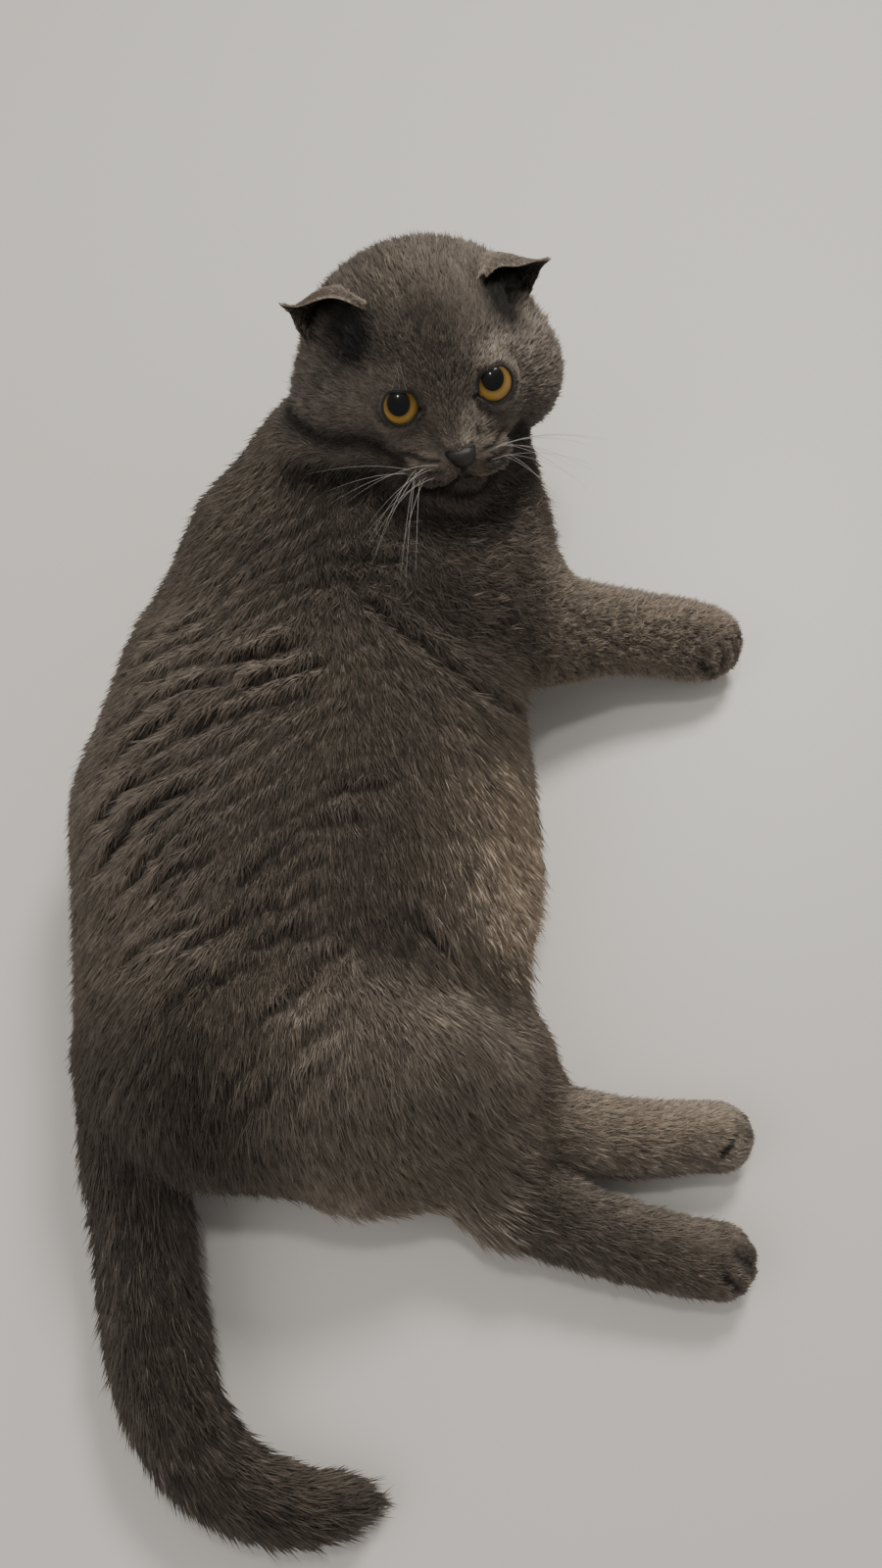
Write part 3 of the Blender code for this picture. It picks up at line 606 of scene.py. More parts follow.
def make_skin():
    skin = new_object("skin", start_form())
    for voxel, detail in ((0.0055, False), (0.0037, True)):
        step = skin.modifiers.new("join", "REMESH")
        step.mode = "VOXEL"
        step.voxel_size = voxel
        baked(skin)
        set_points(skin.data, to_metres(onto_form(to_table(points_of(skin.data)), 2, detail)))

    def in_head(P):
        q = head_local(P)
        back = (P[:, 0] < 1.0) & (P[:, 1] > 9) & (P[:, 1] < 40) & (P[:, 2] > 2.5)
        foot = np.zeros(len(P), bool)
        for tip, _, _ in FEET:
            foot |= ((P - np.array(tip)) ** 2).sum(1) < 3.0 ** 2
        return ((q * q).sum(1) < 8.2 ** 2) | back | foot

    def in_face(P):
        q = mirrored(head_local(P))
        eye = ((q - EYE_AT) ** 2).sum(1) < 1.9 ** 2
        muzzle = (q[:, 1] < -3.4) & (q[:, 0] < 2.6) & (q[:, 2] < -0.9) & (q[:, 2] > -4.8)
        return (eye & (q[:, 1] < -3.0)) | muzzle

    def in_lids(P):
        q = head_local(P)
        r = mirrored(q) - EYE_AT
        gap = eye_gap(q, r)
        q = mirrored(q)
        lids = ((r * r).sum(1) < 1.7 ** 2) & (r @ EYE_A > 0) & (np.abs(gap) < 0.3)
        nose = (q[:, 1] < -5.0) & (q[:, 0] < 1.0) & (q[:, 2] < -1.3) & (q[:, 2] > -2.8)
        return lids | nose

    for chosen in (in_head, in_face, in_lids):
        refine(skin.data, chosen)
        P = to_table(points_of(skin.data))
        moved = chosen(P)
        P[moved] = onto_form(P[moved], 2)
        set_points(skin.data, to_metres(P))
    # the skin slopes down to the edge of the lids, and goes in under the eyeball between them
    q = head_local(P)
    sign = np.where(q[:, :1] < 0, -1.0, 1.0) * (1, 0, 0) + (0, 1, 1)
    r = q * sign - EYE_AT
    rr = np.sqrt((r * r).sum(1))
    gap = eye_gap(q, r)
    limit = EYE_RADIUS - 0.1 + 0.17 * ramp(gap, -0.02, 0.05) + 1.2 * np.maximum(gap - 0.05, 0.0)
    lids = (r @ EYE_A > 0.15) & (rr < 1.8) & (rr > limit) & (gap < 0.4)
    q[lids] = (EYE_AT + r[lids] * (limit[lids] / rr[lids])[:, None]) * sign[lids]
    P[lids] = HEAD_AT + q[lids] @ HEAD_TURN.T
    set_points(skin.data, to_metres(P))
    skin.data.shade_smooth()
    return skin


# ---------------------------------------------------------------- the lie of the coat
# places on the trunk, and the way the fur lies there
LIE = [
    ((-6, 45, 9), (-0.7, -0.5, -0.5)), ((0, 48, 7), (0.1, 0.1, -1)), ((3, 44, 10), (0.3, -0.6, -0.7)),
    ((-10, 40, 8), (-0.55, -0.8, -0.2)), ((-4, 40, 14), (-0.2, -0.95, 0)), ((2, 41, 12), (0.25, -0.85, -0.4)),
    ((5, 40, 7), (0.5, -0.5, -0.7)), ((-14, 34, 7), (-0.5, -0.8, -0.25)), ((-8, 36, 13), (-0.4, -0.9, 0)),
    ((-2, 35, 13), (0.1, -1, 0)), ((4, 32, 8), (0.45, -0.75, -0.4)), ((-17, 27, 6), (-0.35, -0.85, -0.35)),
    ((-13, 28, 11), (-0.5, -0.85, -0.1)), ((-7, 28, 14), (-0.35, -0.95, 0)), ((-1, 28, 12), (0.15, -1, -0.1)),
    ((4, 26, 7), (0.75, -0.55, -0.4)), ((5, 21, 4), (0.9, -0.15, -0.4)), ((-18, 20, 5), (-0.2, -0.9, -0.35)),
    ((-13, 20, 11), (-0.3, -0.95, -0.1)), ((-7, 20, 13), (-0.12, -1, 0)), ((-1, 20, 10.5), (0.15, -1, -0.1)),
    ((2.5, 18, 6), (0.7, -0.7, -0.3)), ((-16, 14, 7), (-0.1, -1, -0.2)), ((-10, 13, 12), (-0.05, -1, -0.1)),
    ((-4, 13, 12), (0.05, -1, -0.1)), ((1, 13, 8.5), (0.3, -0.95, -0.2)), ((-11, 8.5, 6), (0.05, -0.9, -0.5)),
    ((-5, 7, 6), (0.15, -0.9, -0.5)), ((0, 7, 5), (0.5, -0.75, -0.4)), ((-6, 26, 0), (-0.2, -1, 0)),
    ((-2, 6.3, 4), (0.55, -0.8, -0.3)), ((1, 6.2, 3.4), (0.85, -0.5, -0.2)), ((0.5, 9, 6), (0.6, -0.75, -0.3)),
]


def lie_of(P, N):
    """Unit direction in which the fur lies at each point, along the skin."""
    where = [a for a, _ in LIE]
    way = [unit(b) for _, b in LIE]
    reach = [0.0] * len(LIE)
    for name, stations in (("foot_r", FOOT_R), ("foot_l", FOOT_L), ("arm_r", ARM_R[1:]), ("arm_l", ARM_L), ("tail", TAIL)):
        line = spline(stations, 2)
        for k in range(len(line)):
            a, b = line[max(k - 1, 0)], line[min(k + 1, len(line) - 1)]
            where.append(tuple(line[k, :3]))
            way.append(unit(b[:3] - a[:3]))
            reach.append(line[k, 3])
    total = np.zeros_like(P)
    for c, d, r in zip(where, way, reach):
        away = np.maximum(np.sqrt(((P - np.array(c)) ** 2).sum(1)) - r, 0.0)
        total += d * (1.0 / (away * away + 0.8) ** 1.6)[:, None]
    total /= np.maximum(np.linalg.norm(total, axis=1), 1e-9)[:, None]
    q = head_local(P)
    m = mirrored(q)
    out = q - np.array((0, -5.9, -2.15))
    out /= np.maximum(np.linalg.norm(out, axis=1), 1e-6)[:, None]
    out[:, 2] -= 1.6 * ramp(q[:, 1], 0.5, 5.0)
    out[:, 1] += 0.4 * ramp(q[:, 1], -3.0, 1.0)
    # round the eyes the fur parts outwards
    r = m - EYE_AT
    near = np.exp(-((r * r).sum(1)) / 3.2)
    away = (r @ EYE_S)[:, None] * EYE_S + (r @ EYE_V)[:, None] * EYE_V
    away /= np.maximum(np.linalg.norm(away, axis=1), 1e-6)[:, None]
    away[:, 0] *= np.where(q[:, 0] < 0, -1, 1)
    out = out * (1 - 0.75 * near[:, None]) + away * (0.75 * near[:, None])
    out = out @ HEAD_TURN.T
    head = ramp(head_outline(q, m), 1.0, 0.0)[:, None]
    total = total * (1 - head) + out * head
    total -= (total * N).sum(1)[:, None] * N
    return total / np.maximum(np.linalg.norm(total, axis=1), 1e-9)[:, None]


# darker places: how dark, how wide, and the line of each; the painted shade down the sides of the bridge lies in the
# head's frame
PATCHES = [
    (0.15, 3.0, [(-4.2, 35.6, 14.0), (-2.0, 34.0, 13.8)]),
    (0.28, 1.3, [(-0.3, 6.6, 5.0), (1.3, 5.8, 4.5), (2.7, 4.9, 3.2)]),
    (0.30, 1.5, [(-6.0, 16.2, 12.7), (-4.4, 15.3, 12.6), (-2.7, 14.5, 12.1)]),
]
BRIDGE_SIDE_SHADE = [
    (0.58, 0.62, [(0.80, -4.75, 1.6), (0.99, -5.09, 1.07), (0.95, -5.2, 0.16)]),
    (0.56, 0.45, [(0.95, -5.2, 0.16), (0.95, -5.45, -0.65), (0.72, -5.7, -1.1)]),
    (0.45, 0.30, [(-1.05, -5.3, -0.2), (-0.98, -5.46, -0.71), (-0.88, -5.65, -1.4), (-0.73, -5.84, -1.7)]),
]


def coat_fields(P, N):
    """Length, width, lift, scatter and number of the tufts, and the coat's markings with painted shade and highlights,
    at each point.
    """
    part = parts_of(P)
    q = head_local(P)
    m = mirrored(q)
    X, Y, Z = P.T
    head = ramp(head_outline(q, m), 0.9, 0.0)
    front = head * ramp(-q[:, 1], 0.2, 3.6)
    r = m - EYE_AT
    eye = np.exp(-((r * r).sum(1) - 0.9) / 2.2) * head
    eye = np.clip(eye, 0, 1)
    nose_gap = np.sqrt(((m - (0, -5.9, -2.0)) ** 2).sum(1))
    nose = ramp(nose_gap, 2.2, 0.7) * head
    leg = ramp(np.minimum(part["leg_r"], part["leg_l"]), 0.4, -0.5) * ramp(X, 1.0, 5.0) * ramp(Y, 14, 12)
    paw = ramp(X, 8.5, 11.5) * leg
    arm = np.clip(ramp(part["arm_r"], 0.5, -0.5) * ramp(X, 3.0, 7.0) + ramp(part["arm_l"], 0.5, -0.4) * ramp(Y, 47, 49), 0, 1)
    tail = np.clip(ramp(Y, 11, 7) * ramp(X, -9, -11.5) + ramp(Y, 2.0, 0.5), 0, 1)
    belly = ramp(X, -3.0, 3.2) * ramp(Y, 15.0, 19.5) * ramp(Y, 31, 23.5)
    chest = ramp(Y, 31, 35) * (1 - head) * ramp(X, -7, -1) * (1 - arm)
    fringe = ramp(Y, 13, 9) * ramp(Z, 7, 4.5) * (1 - tail) * (1 - leg)
    under = ramp(-N[:, 2], 0.75, 0.95) * ramp(Z, 1.2, 0.4)

    def blend(base, *pairs):
        value = np.full(len(P), float(base))
        for weight, target in pairs:
            value = value * (1 - weight) + target * weight
        return value

    length = blend(0.86, (chest, 0.80), (head, 0.62), (front, 0.38), (leg, 0.52), (paw, 0.30), (arm, 0.45), (tail, 1.15),
                   (belly, 1.5), (fringe, 1.55), (eye, 0.22), (nose, 0.16))
    width = blend(0.070, (chest, 0.066), (head, 0.056), (front, 0.042), (leg, 0.056), (paw, 0.044), (arm, 0.058),
                  (belly, 0.07), (eye, 0.030), (nose, 0.028))
    lift = blend(21, (chest, 30), (head, 27), (front, 19), (leg, 22), (arm, 42), (tail, 19), (belly, 15), (fringe, 15),
                 (eye, 12), (nose, 13))
    scatter = blend(11, (chest, 34), (head, 20), (front, 14), (leg, 17), (arm, 52), (tail, 12), (belly, 11), (eye, 8))
    number = blend(105, (chest, 120), (head, 190), (front, 380), (leg, 190), (paw, 300), (arm, 190), (tail, 95),
                   (belly, 105), (fringe, 85), (eye, 700), (nose, 700))
    number = number * (1 - 0.9 * under)
    upper = ramp(Y, 7.5, 9.0)
    trunk_tone = 0.80 + 0.09 * ramp(X, -9.0, -14.0) + 0.60 * ramp(X, -9.0, -5.0) * ramp(Y, 18.5, 15.0)
    trunk_tone = trunk_tone * (1 - 0.17 * ramp(Y, 31.0, 36.0))
    shade = trunk_tone
    for weight, tone in ((chest, 0.79), (head, 0.93), (front, 0.79), (leg, 0.78 + 0.66 * upper), (arm, 1.13), (tail, 0.60), (belly, 1.75)):
        shade = shade * (1 - weight) + tone * weight
    shade *= 1 - 0.42 * ramp(X, -8.0, -12.5) * ramp(Y, 19.0, 13.0) * (1 - tail)
    for depth, wide, path in PATCHES:
        near = np.min([np.abs(cone(P, (*a, 0.0), (*b, 0.0))) for a, b in zip(path[:-1], path[1:])], axis=0)
        shade *= 1 - depth * np.exp(-(near / wide) ** 2)
    # painted shadow of the head: deep shade on the neck and chest under the cheeks and the chin
    away = head_outline(q, m)
    below = ramp(away, 2.6, 1.0) * ramp(-q[:, 1], 0.5, 2.5) * (1 - head)
    shade *= 1 - 0.78 * below
    # darker down the middle of the forehead and round the eyes; painted shade in front of and under the folded ears
    # and along the ridge of the bridge; paler bridge and whisker pads
    middle = head * np.exp(-(q[:, 0] / 2.0) ** 2) * ramp(q[:, 2], -0.8, 1.0) * ramp(q[:, 2], 5.2, 3.8) * ramp(-q[:, 1], 0.5, 2.5)
    ears = head * np.exp(-(((m - (3.9, -2.1, 3.0)) ** 2 / (1.8, 3.2, 1.4)).sum(1)))
    pads = head * np.exp(-(((m - (1.6, -5.3, -2.5)) ** 2).sum(1)) / 1.2)
    ridge_shade = head * np.exp(-(q[:, 0] / 0.95) ** 2) * ramp(q[:, 2], -1.35, -0.75) * ramp(q[:, 2], 1.2, 0.2) * ramp(-q[:, 1], 2.0, 3.4)
    bridge = head * np.exp(-(((m - (0.0, -5.6, -1.15)) ** 2).sum(1)) / 0.5)
    brow = head * np.exp(-(((m - (2.6, -4.2, 1.9)) ** 2 / (1.2, 1.0, 0.35)).sum(1)))
    # painted shade: the hollows under the ears and the ridge of the bridge are darkened here
    shade *= (1 - 0.34 * ridge_shade) * (1 - 0.45 * middle) * (1 - 0.93 * np.clip(1.9 * ears, 0, 1)) * (1 + 0.55 * pads) * (1 + 0.10 * bridge) * (1 + 0.3 * brow)
    shade *= 1 - 0.31 * head * ramp(q[:, 2], 1.6, 2.6) * ramp(q[:, 2], 4.6, 3.8)
    shade *= 1 - 0.22 * head * ramp(q[:, 2], 3.9, 5.0)
    # painted shade down either side of the bridge
    for depth, wide, path in BRIDGE_SIDE_SHADE:
        near = np.min([np.abs(cone(q, (*a, 0.0), (*b, 0.0))) for a, b in zip(path[:-1], path[1:])], axis=0)
        shade *= 1 - depth * head * np.exp(-(near / wide) ** 2)
    streak = noise(q * (1.5, 0.4, 0.4), 1.0, 9)
    shade *= 1 - head * (0.16 * streak * ramp(q[:, 2], 0.0, 2.0) + 0.12 * noise(q, 1.3, 14) + 0.06 * noise(q, 0.5, 15))
    # painted shade in the crease where the cheeks and the chin meet the neck, where the fur is also shorter
    body = np.minimum.reduce([part["neck"], part["trunk"], part["arm_r"]])
    outline = head_outline(q, m)
    neck_crease_shade = np.exp(-((outline - body) / 0.5) ** 2) * ramp(q[:, 1], 4.0, 0.5)
    shade *= 1 - 0.8 * neck_crease_shade
    length *= 1 - 0.4 * neck_crease_shade
    curl = blend(0.22, (chest, 0.38), (head, 0.24), (front, 0.16), (leg, 0.30), (paw, 0.12), (arm, 0.55), (tail, 0.32),
                 (belly, 0.08), (eye, 0.0), (nose, 0.0))
    warm = np.clip(blend(0.35, (belly, 0.75), (head, 0.2), (arm, 0.45), (tail, 0.3)) + 0.25 * noise(P, 5.0, 11), 0, 1)
    shade *= 1 + 0.08 * noise(P, 3.0, 12) + 0.09 * noise(P, 0.8, 13)
    # painted shade in the valleys of the folds and a painted highlight on their lips, painted shade in the clefts
    # between the toes, rows of the whisker bed
    _, valley, lip = creases(P)
    shade *= (1 - 0.84 * valley) * (1 + 0.10 * lip)
    length *= (1 - 0.45 * valley) * (1 + 0.15 * lip)
    lift *= 1 + 0.35 * lip
    scatter = scatter * (1 + 0.9 * np.clip(lip + valley, 0, 1))
    groove, zone = toe_grooves(P)
    # painted shade in the clefts between the toes; the toes themselves paler
    shade *= (1 - 0.84 * np.clip(groove, 0, 1)) * (1 + 0.22 * np.clip(zone, 0, 1) * (1 - np.clip(groove, 0, 1)))
    length *= 1 - 0.42 * np.clip(zone, 0, 1) - 0.36 * np.clip(groove, 0, 1)
    # darker along the mouth: the dark lips and painted shade in the crease of the mouth; darker rows of the whisker
    # bed
    line = mouth_distance(m)
    low = head * ramp(-q[:, 1], 2.6, 3.6) * ramp(q[:, 2], -2.4, -2.8)
    shade *= (1 - 0.6 * np.exp(-(line / 0.2) ** 2) * low) * (1 - 0.85 * np.clip(whisker_rows(m), 0, 1) * head)
    tear = line_distance(m[:, 0], m[:, 2], [(1.5, -0.2), (1.1, -0.85), (0.85, -1.6)])
    shade *= 1 - 0.38 * np.exp(-(tear / 0.2) ** 2) * front
    chin = head * np.exp(-(((m - (0.3, -5.2, -4.1)) ** 2).sum(1)) / 0.5)
    shade *= 1 + 0.25 * chin
    # bare skin: lids, nose leather and the line of the mouth
    gap = eye_gap(q, r)
    near_eye = ((r * r).sum(1) < 1.75 ** 2) & (r @ EYE_A > 0.0)
    rim = near_eye * np.maximum(ramp(gap, 0.12, 0.06), ramp(line_distance(r @ EYE_S, r @ EYE_V, [(-0.7, -0.3), (-1.12, -0.5)]), 0.2, 0.1))
    leather = ramp(nose_leather(m), 0.07, 0.02) * head
    mouth = ramp(line, 0.12, 0.04) * low
    bare = np.clip(np.maximum.reduce([rim, leather, 0.75 * mouth]), 0, 1)
    number = number * (bare < 0.45)
    return dict(length=length, width=width, lift=lift, scatter=scatter, number=number, shade=shade, warm=warm, curl=curl,
                bare=bare, head=head, tail=tail, leg=leg, arm=arm)


# ---------------------------------------------------------------- ears
EAR_HOLLOW = np.array((4.7, -1.0, 2.6))


def ear_rows(side):
    return [[tuple(np.array(p) + np.array(lift) * k / 4) for p, lift in zip(row, EAR_LIFT[side])]
            for k, row in enumerate(EAR_ROWS)]


def ear_grid(side, steps):
    rows = [spline([(*p, 0) for p in row], steps)[:, :3] for row in ear_rows(side)]
    grid = np.array([spline([(*row[j], 0) for row in rows], steps)[:, :3] for j in range(len(rows[0]))])
    # the rim is slightly wavy, and ends in a small point
    along = np.linspace(0, 1, grid.shape[0])[:, None]
    up = np.linspace(0, 1, grid.shape[1])[None, :] ** 3
    grid[:, :, 2] += 0.09 * np.sin(along * 9.0 + side) * up
    dj = np.gradient(grid, axis=0)
    di = np.gradient(grid, axis=1)
    normal = np.cross(dj, di)
    normal /= np.maximum(np.linalg.norm(normal, axis=2), 1e-9)[:, :, None]
    facing = ((grid - EAR_HOLLOW) * normal).sum(2).mean()
    normal *= 1 if facing > 0 else -1
    way = di / np.maximum(np.linalg.norm(di, axis=2), 1e-9)[:, :, None]
    flip = np.array((side, 1, 1))
    return grid * flip, normal * flip, way * flip


def ear_mesh(side):
    """The ear as one closed sheet that thins towards its rim: (points, faces, shade, warm, bare)."""
    grid, normal, _ = ear_grid(side, 6)
    n, m = grid.shape[:2]
    along = np.linspace(0, 1, n)[:, None]
    up = np.linspace(0, 1, m)[None, :]
    thick = (0.085 - 0.055 * up * np.ones_like(along))[:, :, None]
    outer = (grid + normal * thick).reshape(-1, 3)
    inner = (grid - normal * thick).reshape(-1, 3)
    points = np.concatenate([outer, inner])
    k = n * m
    faces = []
    for i in range(n - 1):
        for j in range(m - 1):
            a, b, c, d = i * m + j, (i + 1) * m + j, (i + 1) * m + j + 1, i * m + j + 1
            faces += [(a, b, c, d), (k + d, k + c, k + b, k + a)]
    edge = [(i * m, (i + 1) * m) for i in range(n - 1)] + [((i + 1) * m + m - 1, i * m + m - 1) for i in range(n - 1)]
    edge += [(j + 1, j) for j in range(m - 1)] + [((n - 1) * m + j, (n - 1) * m + j + 1) for j in range(m - 1)]
    faces += [(b, a, k + a, k + b) for a, b in edge]
    if side > 0:
        faces = [f[::-1] for f in faces]
    # the inner face is painted dark for the shade in the ear's hollow, and the rim painted light as a highlight along
    # its edge
    rim = ramp(np.repeat(up, n, axis=0).reshape(-1), 0.90, 0.98)
    shade = np.concatenate([0.75 + 1.9 * rim, 0.24 + 2.4 * rim])
    return (HEAD_AT + points @ HEAD_TURN.T), faces, shade, np.full(2 * k, 0.4), np.concatenate([np.zeros(k), np.full(k, 0.2)])


def ear_samples(side, count):
    """Roots of the short fur over the back of the ear, and of the longer hair inside its edges."""
    grid, normal, way = ear_grid(side, 6)
    n, m = grid.shape[:2]
    out = []
    for inside in (False, True):
        k = count if not inside else count // 3
        i, j = RNG.random(k) * (n - 1), RNG.random(k) * (m - 1) * (0.97 if not inside else 0.8)
        a, b = i.astype(int), j.astype(int)
        s, t = (i - a)[:, None], (j - b)[:, None]

        def at(field):
            return (field[a, b] * (1 - s) * (1 - t) + field[a + 1, b] * s * (1 - t)
                    + field[a, b + 1] * (1 - s) * t + field[a + 1, b + 1] * s * t)

        P, N, T = at(grid), at(normal), at(way)
        up = j / (m - 1)
        sign = -1.0 if inside else 1.0
        thick = (0.075 - 0.05 * up)[:, None]
        P = HEAD_AT + (P + N * thick * sign) @ HEAD_TURN.T
        N = (N * sign) @ HEAD_TURN.T
        T = T @ HEAD_TURN.T
        T = T - (T * N).sum(1)[:, None] * N
        T /= np.maximum(np.linalg.norm(T, axis=1), 1e-9)[:, None]
        room = 1 - 0.55 * up
        # the hair inside the ear is painted dark for the shade in its hollow
        out.append(dict(P=P, N=N, T=T, length=(0.5 if inside else 0.40) * room, width=np.full(k, 0.036),
                        lift=np.full(k, 26.0 if inside else 9.0), scatter=np.full(k, 18.0 if inside else 9.0),
                        shade=np.full(k, 0.34 if inside else 0.76), warm=np.full(k, 0.35), curl=np.full(k, 0.1), label=np.full(k, 0)))
    return out


# ---------------------------------------------------------------- tufts
def skin_samples(skin, budget):
    """Roots spread over the skin, as many as the coat's budget allows."""
    mesh = skin.data
    mesh.calc_loop_triangles()
    count = len(mesh.loop_triangles)
    tri = np.empty(count * 3, np.int32)
    mesh.loop_triangles.foreach_get("vertices", tri)
    tri = tri.reshape(-1, 3)
    V = to_table(points_of(mesh))
    N = np.empty(len(V) * 3, np.float32)
    mesh.vertices.foreach_get("normal", N)
    N = N.reshape(-1, 3).astype(float)
    F = coat_fields(V, N)
    T = lie_of(V, N)
    area = 0.5 * np.linalg.norm(np.cross(V[tri[:, 1]] - V[tri[:, 0]], V[tri[:, 2]] - V[tri[:, 0]]), axis=1)
    want = area * F["number"][tri].min(axis=1)
    want *= budget / want.sum()
    n = np.floor(want + RNG.random(count)).astype(int)
    pick = np.repeat(np.arange(count), n)
    a, b = RNG.random(len(pick)), RNG.random(len(pick))
    flip = a + b > 1
    a[flip], b[flip] = 1 - a[flip], 1 - b[flip]
    w = np.stack([1 - a - b, a, b], axis=1)

    def at(field):
        return (field[tri[pick]] * (w if field.ndim == 1 else w[:, :, None])).sum(1)

    label = np.select([at(F["head"]) > 0.5, at(F["tail"]) > 0.5, at(F["leg"]) > 0.5, at(F["arm"]) > 0.5], [0, 1, 2, 3], 4)
    out = dict(P=at(V), N=at(N), T=at(T), label=label)
    for key in ("length", "width", "lift", "scatter", "shade", "warm", "curl"):
        out[key] = at(F[key])
    # painted shade in the gaps between the locks, placed by noise
    gap = ramp(noise(out["P"], 0.27, 61) + 0.5 * noise(out["P"], 0.7, 62), 0.05, 0.8)
    out["shade"] *= 1 - out["curl"] * gap
    out["length"] *= 1 - 0.35 * out["curl"] * gap
    for key in ("N", "T"):
        out[key] /= np.maximum(np.linalg.norm(out[key], axis=1), 1e-9)[:, None]
    return out, F


def unwrap(P, label):
    """Each root's place on the skin, laid out flat: round the part and along it."""
    if label == 0:
        q = head_local(P)
        r = np.maximum(np.linalg.norm(q, axis=1), 1e-6)
        return np.stack([np.arctan2(q[:, 0], -q[:, 1]), np.arcsin(np.clip(q[:, 2] / r, -1, 1))], axis=1)
    if label == 1:
        line = spline(TAIL, 3)[:, :3]
        gaps = ((P[:, None, :] - line[None]) ** 2).sum(2)
        k = gaps.argmin(1)
        way = np.gradient(line, axis=0)[k]
        rel = P - line[k]
        side = np.stack([way[:, 1], -way[:, 0]], axis=1)
        side /= np.maximum(np.linalg.norm(side, axis=1), 1e-9)[:, None]
        fine = (rel[:, :2] * way[:, :2]).sum(1) / np.maximum((way[:, :2] ** 2).sum(1), 1e-9)
        return np.stack([np.arctan2((rel[:, :2] * side).sum(1), rel[:, 2]), k + fine], axis=1)
    if label in (2, 3):
        # the two limbs of a pair lie side by side on the map
        low = P[:, 1] < (8.3 if label == 2 else 45.0)
        centre = np.where(low, 5.0 if label == 2 else 36.5, 10.3 if label == 2 else 50.0)
        run = P[:, 0] if label == 2 else np.where(low, P[:, 0], P[:, 1])
        across = np.where(low | (label == 2), P[:, 1] - centre, P[:, 0] - 3.4)
        return np.stack([np.arctan2(across, P[:, 2] - 2.4) + np.where(low, 0, 6.6), run], axis=1)
    return np.stack([np.arctan2(P[:, 0] + 5.5, P[:, 2] - 5.0), P[:, 1]], axis=1)


def gather(samples):
    keys = ("P", "N", "T", "length", "width", "lift", "scatter", "shade", "warm", "curl", "label")
    return {k: np.concatenate([s[k] for s in samples]) for k in keys}


def tuft_points(S):
    """Root triangle and tip of every tuft, with tufts drawn together in small clumps."""
    P, N, T = S["P"], S["N"], S["T"]
    n = len(P)
    B = np.cross(N, T)
    size = np.clip(S["length"] * 0.36, 0.13, 0.55)
    level = np.round(np.log2(size / 0.13) * 2) / 2
    cell = 0.13 * 2.0 ** level
    warp = P + 0.25 * cell[:, None] * np.stack([noise(P, 0.5, 31), noise(P, 0.5, 32), noise(P, 0.5, 33)], axis=1)
    key = np.floor(warp / cell[:, None]).astype(np.int64)
    code = (key[:, 0] + 4000) * 100_000_000 + (key[:, 1] + 4000) * 10_000 + (key[:, 2] + 4000) + (level * 2).astype(np.int64) * 10 ** 13
    _, group = np.unique(code, return_inverse=True)
    group = group.reshape(-1)
    size_of = np.bincount(group).astype(float)
    middle = np.stack([np.bincount(group, P[:, k]) / size_of for k in range(3)], axis=1)[group]
    one = RNG.normal(0, 1, (len(size_of), 3))[group]
    angle = np.radians(S["scatter"]) * (0.45 * RNG.normal(0, 1, n) + 0.75 * one[:, 0]
                                        + 0.35 * noise(P, 1.7, 41))
    lift = np.radians(np.clip(S["lift"] * (1 + 0.30 * RNG.normal(0, 1, n) + 0.22 * one[:, 1]), 5, 70))
    way = T * np.cos(angle)[:, None] + B * np.sin(angle)[:, None]
    side = B * np.cos(angle)[:, None] - T * np.sin(angle)[:, None]
    length = S["length"] * np.clip(1 + 0.22 * RNG.normal(0, 1, n), 0.45, 1.6)
    width = S["width"] * np.clip(1 + 0.25 * RNG.normal(0, 1, n), 0.5, 1.7)
    tip = P + way * (length * np.cos(lift))[:, None] + N * (length * np.sin(lift))[:, None]
    pull = middle - P
    pull -= (pull * N).sum(1)[:, None] * N
    tip += (0.30 + 0.5 * S["curl"])[:, None] * pull
    sink = N * (0.06 + 0.3 * width)[:, None]
    left = P - side * (width * 0.5)[:, None] - sink
    right = P + side * (width * 0.5)[:, None] - sink
    top = P + N * (width * 0.35)[:, None] - way * (width * 0.2)[:, None]
    # the belly of a long tuft bows out before its tip comes down to the coat
    bow = N * (0.06 * length)[:, None]
    S["clump"], S["single"] = one[:, 2], RNG.normal(0, 1, n)
    return left, right, top, tip, bow, side, width


